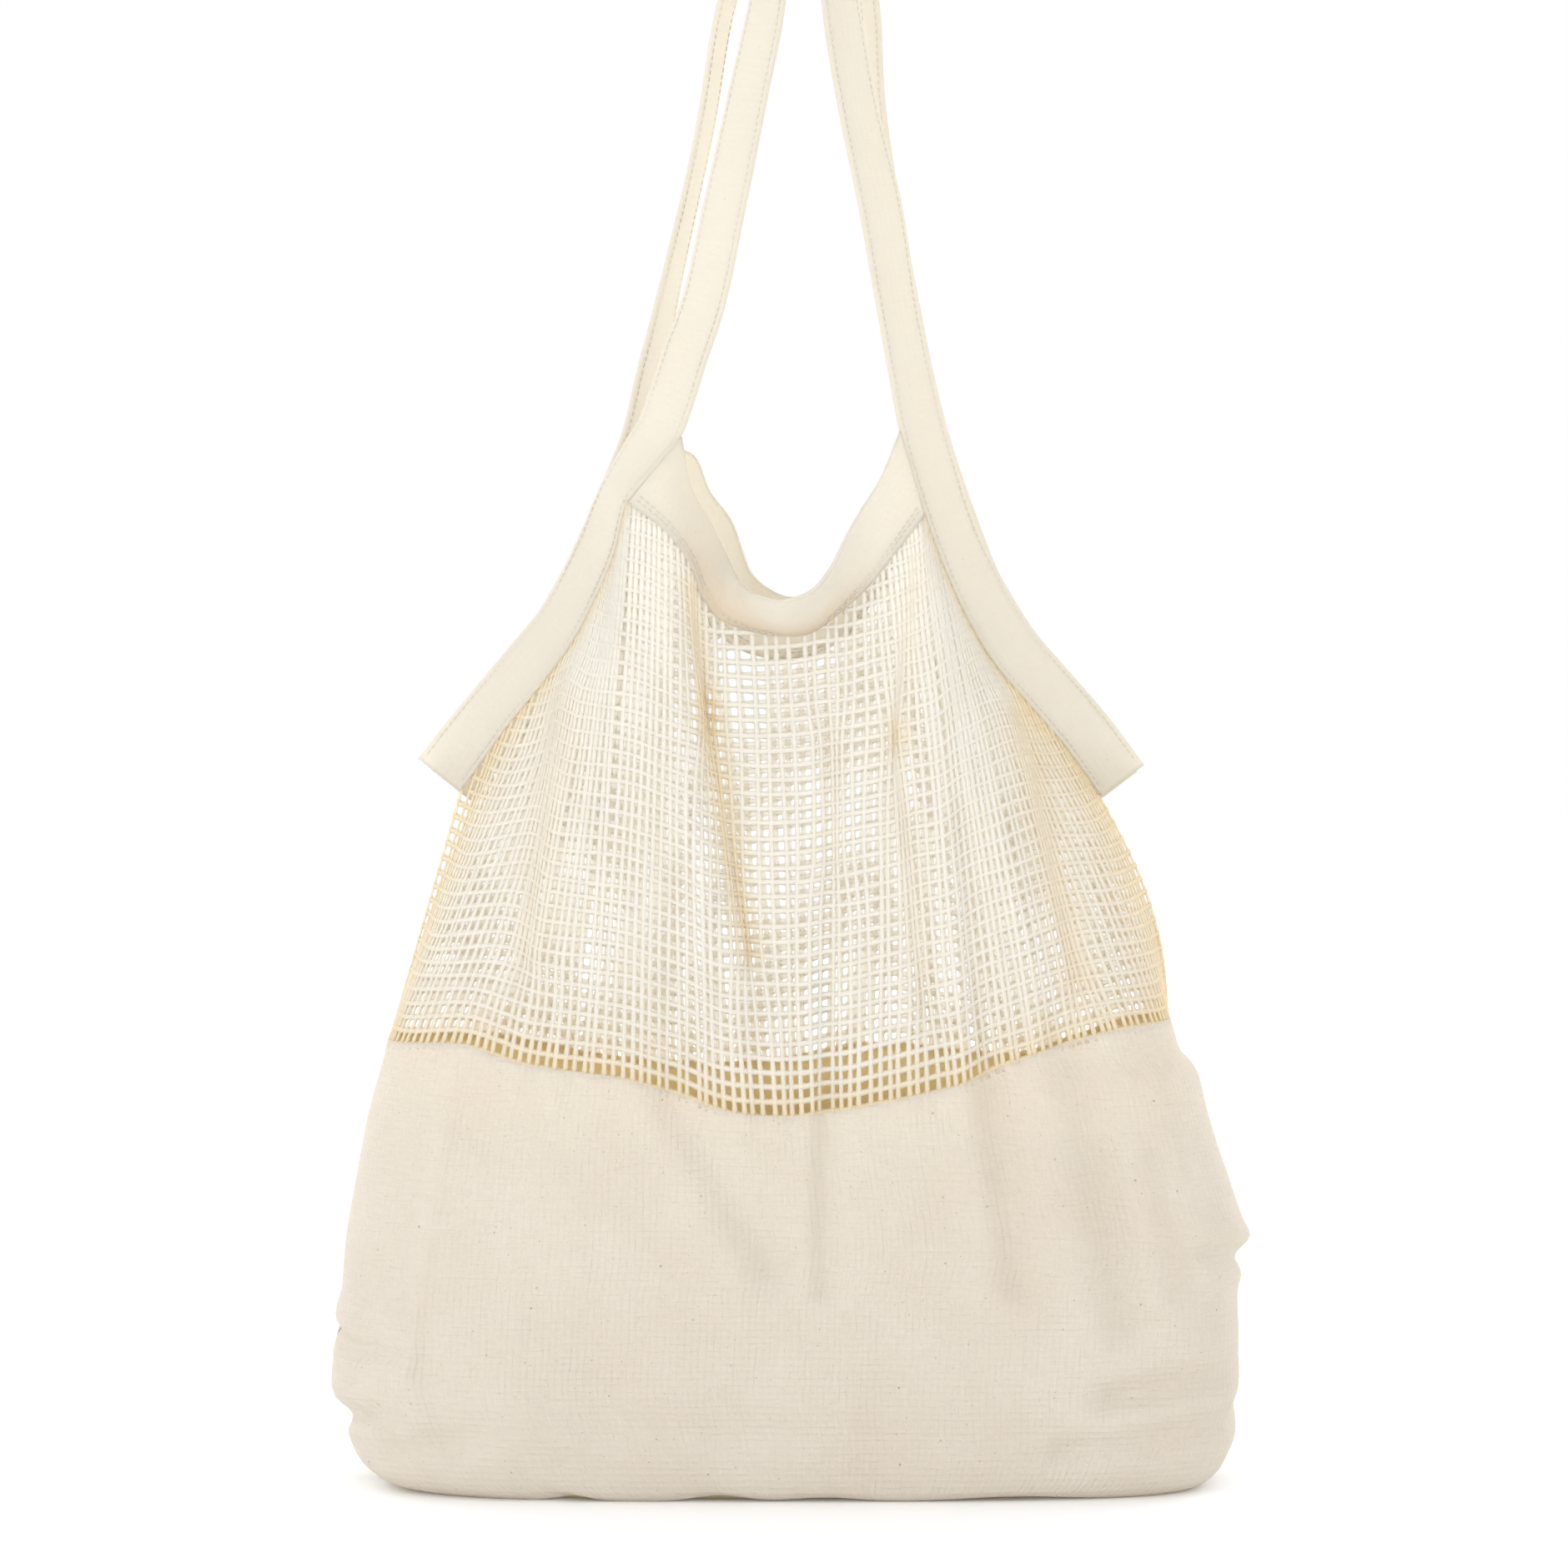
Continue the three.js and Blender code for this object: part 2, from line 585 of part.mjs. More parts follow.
function rimEdges(table, line) {
  const place = (row) =>
    [row.across * HALF_WIDTH, line.side * row.depth * HALF_DEPTH, heightOf(row.level)];
  const edge = (rows, joins) => curveThrough([
    sewnEdge(line, joins[0], RIM_SETBACK).toArray(),
    ...rows.map(place),
    sewnEdge(line, joins[1], RIM_SETBACK).toArray(),
  ]);
  return { low: edge(table.low, line.rimLow), top: edge(table.top, line.rimTop) };
}

function rim(edges) {
  const grid = [0, 1 / 3, 2 / 3, 1].map((up) =>
    Array.from({ length: RIM_STATIONS + 1 }, (unused, i) => {
      const low = new THREE.Vector3(...edges.low.at(i / RIM_STATIONS));
      return low.lerp(new THREE.Vector3(...edges.top.at(i / RIM_STATIONS)), up);
    }));
  return sheetAbout(grid, RIM_THICKNESS, () => true);
}

// Net panels

// The middle of the canvas's top edge, left to right, along the front or the back.
function seamPoint(front, share) {
  const top = pouchOuter.length - 1;
  const total = FRONT_COLUMNS + BACK_COLUMNS;
  const place = front ? share * FRONT_COLUMNS : total - share * BACK_COLUMNS;
  const from = Math.min(Math.floor(place), total - 1);
  const at = (column) => {
    const outer = pouchOuter[top][column % total];
    return outer.clone().lerp(pouchInner[top][column % total], 0.5);
  };
  return at(from).lerp(at(from + 1), place - from);
}

// The edge of the net under the shoulder bands and the rim.
function neckPoint(line, edges, share) {
  const [leftEnd, rightStart] = line.rimLow;
  if (share <= NECK_LEFT) {
    const run = (share / NECK_LEFT) ** SHOULDER_GATHER;
    return sewnEdge(line, run * leftEnd, NET_SETBACK);
  }
  if (share >= NECK_RIGHT) {
    const run = ((1 - share) / (1 - NECK_RIGHT)) ** SHOULDER_GATHER;
    return sewnEdge(line, 1 - run * (1 - rightStart), NET_SETBACK);
  }
  const even = (share - NECK_LEFT) / (NECK_RIGHT - NECK_LEFT);
  const run = even - RIM_GATHER * Math.sin(2 * Math.PI * even) / (2 * Math.PI);
  const low = new THREE.Vector3(...edges.low.at(run));
  const away = low.clone().sub(new THREE.Vector3(...edges.top.at(run))).normalize();
  return low.addScaledVector(away, RIM_SETBACK);
}

function netPoint(line, edges, across, up) {
  const front = line.side < 0;
  const low = seamPoint(front, across);
  low.z += SEAM_GAP;
  const point = low.lerp(neckPoint(line, edges, across), up);
  const bow = Math.sin(Math.PI * up);
  const open = Math.sin(Math.PI * across);
  point.x += NET_SIDE_SWELL * bow * across ** 6;
  point.y += line.side * NET_FRONT_SWELL * bow * open;
  const press = front ? pressedIn(NET_FOLDS, point.x, point.z, BODY_HEIGHT) : 0;
  point.y -= line.side * press * bow;
  const clear = (NET_THICKNESS + SEAM_GAP) / 2;
  point.y = line.side * Math.max(line.side * point.y, clear);
  return point;
}

// Places of the grid lines over a run of bars and gaps, each gap having one line in its middle.
function barLines(gaps) {
  const pitch = 1 / (gaps + THREAD_SHARE);
  const lines = [0];
  for (let i = 0; i < gaps; i += 1) {
    const bar = (i + THREAD_SHARE) * pitch;
    const next = (i + 1) * pitch;
    lines.push(bar, (bar + next) / 2, next);
  }
  lines.push(1);
  return lines;
}

function net(line, edges) {
  const acrossLines = barLines(GAPS_ACROSS);
  const upLines = barLines(GAPS_UP);
  const grid = upLines.map((up) => acrossLines.map((across) => netPoint(line, edges, across, up)));
  const keep = (r, c) => r % 3 === 0 || c % 3 === 0;
  return sheetAbout(grid, NET_THICKNESS, keep);
}

// The whole bag

function mesh(name, geometry, colour, roughness) {
  const made = new THREE.Mesh(
    geometry,
    new THREE.MeshStandardMaterial({ color: colour, roughness, metalness: 0 }),
  );
  made.name = name;
  return made;
}

const frontTape = tapeLine(FRONT_TAPE, -1);
const backTape = tapeLine(BACK_TAPE, 1);
const frontRim = rimEdges(FRONT_RIM, frontTape);
const backRim = rimEdges(BACK_RIM, backTape);

const bag = new THREE.Group();
bag.name = "string_bag";
bag.add(
  mesh("canvas_base", pouch(), CANVAS_COLOUR, 0.95),
  mesh("net_front", net(frontTape, frontRim), NET_COLOUR, 0.9),
  mesh("net_back", net(backTape, backRim), NET_COLOUR, 0.9),
  mesh("rim_front", rim(frontRim), TAPE_COLOUR, 0.9),
  mesh("rim_back", rim(backRim), TAPE_COLOUR, 0.9),
  mesh("strap_front", tape(frontTape), TAPE_COLOUR, 0.9),
  mesh("strap_back", tape(backTape), TAPE_COLOUR, 0.9),
);
for (const piece of bag.children) {
  piece.geometry.translate(-LOOP_SHIFT, 0, -HANG_HEIGHT);
}

export default bag;
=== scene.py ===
import math

import bpy
import numpy as np
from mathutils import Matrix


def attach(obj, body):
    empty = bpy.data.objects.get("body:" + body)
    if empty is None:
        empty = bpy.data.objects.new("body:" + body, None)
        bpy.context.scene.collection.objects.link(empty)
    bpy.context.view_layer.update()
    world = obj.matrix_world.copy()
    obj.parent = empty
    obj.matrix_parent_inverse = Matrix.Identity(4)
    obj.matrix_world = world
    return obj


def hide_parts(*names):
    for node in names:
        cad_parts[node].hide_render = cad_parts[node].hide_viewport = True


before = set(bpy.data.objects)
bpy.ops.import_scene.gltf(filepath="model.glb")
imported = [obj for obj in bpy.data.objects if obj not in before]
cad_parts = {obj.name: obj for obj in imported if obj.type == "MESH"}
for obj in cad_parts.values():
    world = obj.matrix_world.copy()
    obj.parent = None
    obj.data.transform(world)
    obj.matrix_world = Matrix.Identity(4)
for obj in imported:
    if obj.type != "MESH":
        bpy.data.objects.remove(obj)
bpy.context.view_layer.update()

# Camera, at the photo's viewing angle
CAMERA_DISTANCE = 2.4
CAMERA_ELEVATION = math.radians(4)
CAMERA_LENS = 122.56
CAMERA_TARGET = (-0.0089, 0.0, -0.429)


def add_object(name, data):
    obj = bpy.data.objects.new(name, data)
    bpy.context.scene.collection.objects.link(obj)
    return obj


def look_at(obj, target):
    place = np.array(obj.location)
    ahead = np.array(target) - place
    pan = math.atan2(-ahead[0], ahead[1])
    tilt = math.atan2(ahead[2], math.hypot(ahead[0], ahead[1]))
    obj.rotation_euler = (math.pi / 2 + tilt, 0, pan)


camera_data = bpy.data.cameras.new("camera")
camera_data.lens = CAMERA_LENS
camera_data.sensor_width = 36
camera_data.clip_end = 50
camera = add_object("camera", camera_data)
camera.location = (
    CAMERA_TARGET[0],
    -CAMERA_DISTANCE * math.cos(CAMERA_ELEVATION),
    CAMERA_TARGET[2] + CAMERA_DISTANCE * math.sin(CAMERA_ELEVATION),
)
look_at(camera, CAMERA_TARGET)
bpy.context.scene.camera = camera

# Sizes of the bag in millimetres, heights from the floor, as in the CAD part
BODY_WIDTH = 408
BODY_DEPTH = 128
POUCH_HEIGHT = 214
BODY_HEIGHT = 447
STRAP_HEIGHT = 298
CANVAS_THICKNESS = 1.6
TAPE_WIDTH = 24
TAPE_THICKNESS = 2.4
SEAM_GAP = 0.6
LOOP_RADIUS = 9
LOOP_SHIFT = 7
LOOP_SPACING = 2
HALF_WIDTH = BODY_WIDTH / 2
HALF_DEPTH = BODY_DEPTH / 2
HANG_HEIGHT = BODY_HEIGHT + STRAP_HEIGHT
TAPE_MEETING = (TAPE_THICKNESS + SEAM_GAP) / 2


def table(columns, *rows):
    """A table with named columns."""
    return {name: np.array(values, float) for name, values in zip(columns.split(), zip(*rows))}


def rows_of(rows):
    return zip(*rows.values())


# Heights are shares of POUCH_HEIGHT, left and right of HALF_WIDTH, front and back of HALF_DEPTH
POUCH_SECTIONS = table(
    "height left right front back square",
    (0.0, 0.83, 0.9, 0.8, 0.8, 3.4),
    (0.014, 0.895, 0.93, 0.86, 0.86, 3.5),
    (0.05, 0.94, 0.963, 0.91, 0.91, 3.6),
    (0.13, 0.972, 0.988, 0.97, 0.96, 3.8),
    (0.238, 1.003, 0.992, 1.0, 0.99, 4.0),
    (0.327, 0.994, 0.994, 1.02, 1.0, 4.0),
    (0.43, 0.984, 0.99, 1.03, 1.0, 4.0),
    (0.522, 0.976, 1.01, 1.03, 1.0, 4.0),
    (0.629, 0.957, 0.98, 1.02, 0.99, 4.0),
    (0.718, 0.94, 0.948, 1.0, 0.98, 3.9),
    (0.79, 0.925, 0.925, 0.99, 0.97, 3.8),
    (0.88, 0.899, 0.9, 0.98, 0.96, 3.7),
    (0.913, 0.889, 0.868, 0.97, 0.95, 3.7),
    (1.0, 0.872, 0.838, 0.94, 0.92, 3.6),
)
FRONT_SEAM = table(
    "across height",
    (-0.88, 0.945),
    (-0.73, 0.955),
    (-0.56, 0.915),
    (-0.37, 0.89),
    (-0.24, 0.853),
    (-0.13, 0.82),
    (-0.02, 0.81),
    (0.08, 0.82),
    (0.21, 0.846),
    (0.35, 0.877),
    (0.46, 0.915),
    (0.56, 0.945),
    (0.65, 0.967),
    (0.75, 0.985),
    (0.84, 0.99),
)
BACK_SEAM = table(
    "across height",
    (-0.88, 0.945),
    (-0.76, 0.932),
    (-0.58, 0.903),
    (-0.39, 0.865),
    (-0.18, 0.85),
    (-0.02, 0.862),
    (0.13, 0.89),
    (0.22, 0.896),
    (0.31, 0.884),
    (0.47, 0.872),
    (0.62, 0.91),
    (0.84, 0.985),
)
# Valleys pressed into the cloth along lines; across is a share of HALF_WIDTH, up of
# POUCH_HEIGHT, spread and depth are millimetres. Ridge is how far the left bank stands proud.
CANVAS_FOLDS = table(
    "across up to_across to_up spread depth ridge",
    (-0.24, 0.84, -0.03, 0.5, 9.0, 5.0, 1.6),
    (0.08, 0.82, 0.08, 0.45, 5.5, 4.0, 1.4),
    (0.44, 0.87, 0.5, 0.46, 8.0, 6.0, 2.0),
    (0.63, 0.92, 0.73, 0.38, 11.0, 8.0, 2.6),
    (0.88, 0.88, 0.92, 0.64, 9.0, 4.5, 1.2),
    (0.7, 0.22, 0.98, 0.26, 7.5, 7.5, 2.4),
    (-0.86, 0.1, -0.7, 0.13, 9.0, 4.0, 0.5),
    (-0.4, 0.16, 0.5, 0.13, 10.0, 2.0, 0.2),
    (-0.725, 0.9, -0.83, 0.28, 4.5, -2.2, 0.0),
    (-0.8, 0.88, -0.9, 0.3, 9.0, 3.5, 0.0),
    (-0.79, 0.3, -0.72, 0.06, 7.0, 1.6, 0.4),
    (-0.9, 0.2, -0.8, 0.02, 6.0, 3.5, 0.8),
    (0.6, 0.1, 0.95, 0.16, 8.0, 5.0, 1.0),
    (0.8, 0.72, 0.86, 0.46, 8.0, 4.5, 1.2),
)
# Dents in the pouch's sides that show in its outline. Side is -1 for left, up is a share of
# POUCH_HEIGHT, lean is how the dent climbs from front to back, spread and depth are millimetres.
SIDE_DENTS = table(
    "side up lean spread depth",
    (-1, 0.345, 0.15, 4.5, 4.5),
    (-1, 0.14, -0.2, 5.0, 4.5),
    (-1, 0.24, 0.35, 4.0, 2.5),
    (-1, 0.06, 0.3, 4.0, 3.0),
    (1, 0.475, -0.2, 5.0, 4.5),
    (1, 0.2, 0.3, 7.0, 2.0),
)
# Where the base's edge stands off the floor; across and spread are shares of HALF_WIDTH, high
# is millimetres
BASE_LIFTS = table(
    "across spread high",
    (-0.47, 0.05, 3.2),
    (-0.15, 0.08, 3.6),
    (0.08, 0.1, 2.4),
    (0.5, 0.16, 2.6),
)
# Up is a share of BODY_HEIGHT
NET_FOLDS = table(
    "across up to_across to_up spread depth ridge",
    (-0.215, 0.91, -0.18, 0.78, 7.0, 6.0, 3.0),
    (-0.18, 0.78, -0.09, 0.55, 9.0, 7.0, 4.0),
    (0.27, 0.93, 0.23, 0.76, 9.0, 3.2, 1.5),
    (0.23, 0.76, 0.29, 0.5, 10.0, 3.2, 1.5),
    (0.1, 0.75, 0.1, 0.65, 11.0, 3.0, 1.0),
    (0.5, 0.78, 0.62, 0.52, 13.0, 5.0, 1.0),
    (-0.5, 0.8, -0.56, 0.55, 15.0, 3.5, 1.0),
)

TAPE_COLUMNS = "across depth level face"
FRONT_LEFT = table(
    TAPE_COLUMNS,
    (-0.768, 0, 0.717, 0),
    (-0.668, 0.118, 0.776, 22),
    (-0.562, 0.243, 0.834, 27),
    (-0.506, 0.305, 0.867, 34),
    (-0.458, 0.352, 0.907, 38),
    (-0.415, 0.384, 0.95, 42),
    (-0.377, 0.399, 0.999, 54),
    (-0.326, 0.42, 1.05, 44),
    (-0.275, 0.44, 1.1, 34),
    (-0.249, 0.446, 1.15, 33),
    (-0.224, 0.43, 1.205, 34),
    (-0.19, 0.405, 1.27, 37),
    (-0.139, 0.368, 1.421, 40),
    (-0.092, 0.305, 1.575, 44),
    (-0.045, 0.259, 1.73, 51),
)
FRONT_RIGHT = table(
    TAPE_COLUMNS,
    (0.112, 0.259, 1.73, 48),
    (0.15, 0.29, 1.575, 45),
    (0.2, 0.352, 1.421, 38),
    (0.239, 0.385, 1.265, 42),
    (0.262, 0.42, 1.18, 40),
    (0.288, 0.43, 1.1, 34),
    (0.318, 0.425, 1.03, 32),
    (0.342, 0.42, 0.986, 33),
    (0.38, 0.399, 0.94, 31),
    (0.438, 0.352, 0.886, 22),
    (0.495, 0.305, 0.845, 18),
    (0.554, 0.243, 0.814, 17),
    (0.648, 0.118, 0.765, 14),
    (0.736, 0, 0.711, 0),
)
BACK_LEFT = table(
    TAPE_COLUMNS,
    (-0.742, 0, 0.705, 0),
    (-0.64, 0.118, 0.764, 20),
    (-0.535, 0.243, 0.822, 22),
    (-0.483, 0.305, 0.86, 20),
    (-0.44, 0.352, 0.902, 18),
    (-0.405, 0.384, 0.95, 28),
    (-0.372, 0.399, 1.005, 46),
    (-0.333, 0.415, 1.076, 51),
    (-0.298, 0.399, 1.193, 62),
    (-0.268, 0.368, 1.293, 70),
    (-0.221, 0.321, 1.427, 75),
    (-0.174, 0.274, 1.583, 75),
    (-0.134, 0.243, 1.738, 75),
)
BACK_RIGHT = table(
    TAPE_COLUMNS,
    (0.178, 0.243, 1.738, 75),
    (0.193, 0.274, 1.583, 74),
    (0.219, 0.321, 1.427, 65),
    (0.249, 0.368, 1.293, 54),
    (0.283, 0.399, 1.158, 44),
    (0.318, 0.415, 1.062, 40),
    (0.36, 0.392, 0.985, 42),
    (0.43, 0.337, 0.9, 33),
    (0.535, 0.243, 0.812, 20),
    (0.638, 0.118, 0.754, 14),
    (0.722, 0, 0.703, 0),
)
# Rows of each tape's left and right tables where the rim's low and top edges join it
FRONT_JOINS = {"low": (6, 7), "top": (8, 5)}
BACK_JOINS = {"low": (6, 6), "top": (7, 5)}

RIM_COLUMNS = "across depth level"
FRONT_RIM_LOW = table(
    RIM_COLUMNS,
    (-0.269, 0.594, 0.963),
    (-0.218, 0.562, 0.932),
    (-0.188, 0.516, 0.897),
    (-0.15, 0.484, 0.876),
    (-0.095, 0.469, 0.866),
    (-0.02, 0.469, 0.86),
    (0.045, 0.469, 0.864),
    (0.101, 0.484, 0.879),
    (0.163, 0.516, 0.904),
    (0.229, 0.562, 0.94),
)
FRONT_RIM_TOP = table(
    RIM_COLUMNS,
    (-0.211, 0.34, 1.002),
    (-0.177, 0.26, 0.974),
    (-0.142, 0.23, 0.939),
    (-0.108, 0.42, 0.915),
    (-0.07, 0.68, 0.901),
    (-0.007, 0.83, 0.897),
    (0.054, 0.812, 0.906),
    (0.09, 0.75, 0.924),
    (0.118, 0.69, 0.953),
    (0.155, 0.63, 0.983),
    (0.195, 0.6, 1.018),
)
BACK_RIM_LOW = table(
    RIM_COLUMNS,
    (-0.275, 0.594, 0.96),
    (-0.23, 0.562, 0.922),
    (-0.201, 0.531, 0.888),
    (-0.162, 0.5, 0.857),
    (-0.098, 0.484, 0.837),
    (-0.01, 0.469, 0.83),
    (0.059, 0.469, 0.834),
    (0.127, 0.484, 0.852),
    (0.186, 0.516, 0.886),
    (0.24, 0.562, 0.926),
)
BACK_RIM_TOP = table(
    RIM_COLUMNS,
    (-0.215, 0.56, 1.057),
    (-0.174, 0.531, 1.0),
    (-0.125, 0.484, 0.969),
    (-0.1, 0.453, 0.937),
    (-0.083, 0.438, 0.918),
    (-0.044, 0.422, 0.902),
    (0.0, 0.422, 0.893),
    (0.049, 0.422, 0.895),
    (0.098, 0.438, 0.911),
    (0.142, 0.469, 0.937),
    (0.181, 0.516, 0.971),
    (0.221, 0.562, 1.013),
)
NECK_LEFT = 0.3
NECK_RIGHT = 0.7
SHOULDER_GATHER = 0.7
RIM_GATHER = 0.4


# Curves and surfaces

# How far beside a fold its bank lies, as a share of the fold's spread
BANK_OFFSET = 1.5
# How far threads are drawn beside a fold, as a share of its spread, and how soon that fades
# past the fold's ends, in millimetres
CROWDING = 0.5
CROWDING_FADE = 18
WAVES_IN_ONE = 3
LEAN_SCATTER = 0.5
LENGTH_SCATTER = (0.75, 1.3)
WANDER = 0.8
WANDER_LONG = 1.7
ANY_PHASE = 6


def blend_weights(f, span):
    """Weights of the first value and of the slopes at both ends, a share f of a span along."""
    return 1 - f * f * (3 - 2 * f), f * (1 - f) ** 2 * span, f * f * (f - 1) * span


def smooth_read(rows, key, value, column):
    """A column of a table at values of its key, along a smooth curve that doesn't overshoot."""
    x, y = rows[key], rows[column]
    steps = np.diff(y) / np.diff(x)
    slopes = np.zeros(len(x))
    same = steps[:-1] * steps[1:] > 0
    slopes[1:-1][same] = 2 * steps[:-1][same] * steps[1:][same] / (steps[:-1] + steps[1:])[same]
    slopes[0], slopes[-1] = steps[0], steps[-1]
    value = np.clip(value, x[0], x[-1])
    i = np.clip(np.searchsorted(x, value, side="right") - 1, 0, len(x) - 2)
    span = x[i + 1] - x[i]
    start, leave, arrive = blend_weights((value - x[i]) / span, span)
    return y[i] * start + y[i + 1] * (1 - start) + slopes[i] * leave + slopes[i + 1] * arrive


class Curve:
    """A smooth curve through points, read at shares of its length; the first three columns
    are its place in space."""

    def __init__(self, points):
        self.points = np.array(points, float)
        gaps = np.linalg.norm(np.diff(self.points[:, :3], axis=0), axis=1)
        self.reach = np.concatenate([[0], np.cumsum(gaps)])
        self.total = self.reach[-1]
        steps = np.diff(self.points, axis=0) / gaps[:, None]
        weights = gaps[:, None]
        middle = (steps[:-1] * weights[1:] + steps[1:] * weights[:-1]) / (
            weights[1:] + weights[:-1]
        )
        self.slopes = np.vstack([steps[:1], middle, steps[-1:]])
        self.places = self.reach / self.total

    def at(self, share):
        distance = np.atleast_1d(share) * self.total
        i = np.clip(
            np.searchsorted(self.reach, distance, side="right") - 1, 0, len(self.reach) - 2
        )
        span = (self.reach[i + 1] - self.reach[i])[:, None]
        f = (distance - self.reach[i])[:, None] / span
        start, leave, arrive = blend_weights(f, span)
        return (
            self.points[i] * start
            + self.points[i + 1] * (1 - start)
            + self.slopes[i] * leave
            + self.slopes[i + 1] * arrive
        )


def height_of(level):
    return np.minimum(level, 1) * BODY_HEIGHT + np.maximum(level - 1, 0) * STRAP_HEIGHT


def walked(points):
    """How far along a line each of its points lies."""
    return np.concatenate([[0], np.cumsum(np.linalg.norm(np.diff(points, axis=0), axis=1))])


def unit(vectors):
    length = np.linalg.norm(vectors, axis=-1, keepdims=True)
    return vectors / np.maximum(length, 1e-9)


def pressed_in(folds, x, z, tall):
    """How far cloth is pressed in by the valleys of a table, in millimetres."""
    depth = np.zeros(np.broadcast(x, z).shape)
    for across, up, to_across, to_up, spread, deep, ridge in rows_of(folds):
        start_x, start_z = across * HALF_WIDTH, up * tall
        run_x, run_z = to_across * HALF_WIDTH - start_x, to_up * tall - start_z
        long = math.hypot(run_x, run_z)
        along = np.clip(((x - start_x) * run_x + (z - start_z) * run_z) / long**2, 0, 1)
        away_x, away_z = x - start_x - run_x * along, z - start_z - run_z * along
        away = np.hypot(away_x, away_z)
        beside = (away_x * run_z - away_z * run_x) / long
        depth += deep * np.exp(-((away / spread) ** 2))
        bank = away**2 + (BANK_OFFSET * spread) ** 2 - 2 * BANK_OFFSET * spread * beside
        depth -= ridge * np.exp(-np.maximum(bank, 0) / spread**2)
    return depth


def crowd(folds, x, z, tall):
    """How far to the right points are drawn away from the lines of a table's folds, negative
    towards them, so that the threads beside a fold crowd together."""
    shift = np.zeros(np.broadcast(x, z).shape)
    for across, up, to_across, to_up, spread, _, _ in rows_of(folds):
        start_x, start_z = across * HALF_WIDTH, up * tall
        run_x, run_z = to_across * HALF_WIDTH - start_x, to_up * tall - start_z
        along = (z - start_z) / run_z
        beside = (x - start_x - run_x * np.clip(along, 0, 1)) / spread
        past = np.maximum(np.maximum(-along, along - 1), 0) * abs(run_z) / CROWDING_FADE
        shift += CROWDING * spread * beside * np.exp(-(beside**2) - past**2)
    return shift


def ripples(x, z, waves, seed):
    """Soft seeded unevenness: sums of waves given as (length, lean, height) in millimetres."""
    made = np.random.default_rng(seed)
    total = np.zeros(np.broadcast(x, z).shape)
    for length, lean, height in waves:
        for _ in range(WAVES_IN_ONE):
            angle = math.radians(lean) + made.uniform(-LEAN_SCATTER, LEAN_SCATTER)
            own = length * made.uniform(*LENGTH_SCATTER)
            phase = made.uniform(0, 2 * math.pi)
            wander = WANDER * np.sin(z / (own * WANDER_LONG) + made.uniform(0, ANY_PHASE))
            turn = 2 * math.pi * (x * math.cos(angle) + z * math.sin(angle)) / own
            total += height * np.sin(turn + phase + wander) / WAVES_IN_ONE
    return total


def normals_of(grid, ring=False):
    along = np.roll(grid, -1, axis=1) - np.roll(grid, 1, axis=1)
    if not ring:
        along[:, 0] = grid[:, 1] - grid[:, 0]
        along[:, -1] = grid[:, -1] - grid[:, -2]
    up = np.gradient(grid, axis=0)
    return unit(np.cross(along, up))


# Mesh building


def to_frame(points):
    """From millimetres above the floor to metres from the hang point."""
    return (np.asarray(points) - np.array([LOOP_SHIFT, 0, HANG_HEIGHT])) / 1000


def add_piece(name, points, faces, uvs, material, node=None, inside=None):
    """A smooth mesh object from points, faces of one size, and a uv in metres for each point.
    Node is what it replaces, and inside a second material with the faces that have it."""
    faces = np.asarray(faces)
    count, size = faces.shape
    mesh = bpy.data.meshes.new(name)
    mesh.vertices.add(len(points))
    mesh.vertices.foreach_set("co", np.asarray(points, np.float32).ravel())
    mesh.loops.add(count * size)
    mesh.loops.foreach_set("vertex_index", faces.ravel().astype(np.int32))
    mesh.polygons.add(count)
    mesh.polygons.foreach_set("loop_start", np.arange(0, count * size, size, dtype=np.int32))
    mesh.update(calc_edges=True)
    mesh.polygons.foreach_set("use_smooth", np.ones(count, bool))
    layer = mesh.uv_layers.new(name="cloth")
    layer.data.foreach_set("uv", np.asarray(uvs, np.float32)[faces.ravel()].ravel())
    mesh.validate()
    obj = add_object(name, mesh)
    mesh.materials.append(material)
    if inside:
        mesh.materials.append(inside[0])
        mesh.polygons.foreach_set("material_index", inside[1].astype(np.int32))
    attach(obj, "root")
    if node:
        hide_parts(node)
    return obj


def grid_faces(rows, columns, start=0, ring=False, flip=False):
    """Squares of a grid of points; a ring's last column joins its first."""
    r, c = np.meshgrid(np.arange(rows - 1), np.arange(columns if ring else columns - 1))
    r, c = r.T.ravel(), c.T.ravel()
    after = (c + 1) % columns
    faces = np.stack(
        [r * columns + c, r * columns + after, (r + 1) * columns + after, (r + 1) * columns + c],
        axis=1,
    )
    return start + (faces[:, ::-1] if flip else faces)


def cap_faces(start, count, flip=False):
    """Squares that close a ring of points, from one side of it to the other."""
    c = np.arange(count // 2 - 1)
    faces = np.stack([start + c, start + c + 1, start + count - 2 - c, start + count - 1 - c], axis=1)
    return faces[:, ::-1] if flip else faces


TUBE_SIDES = 4


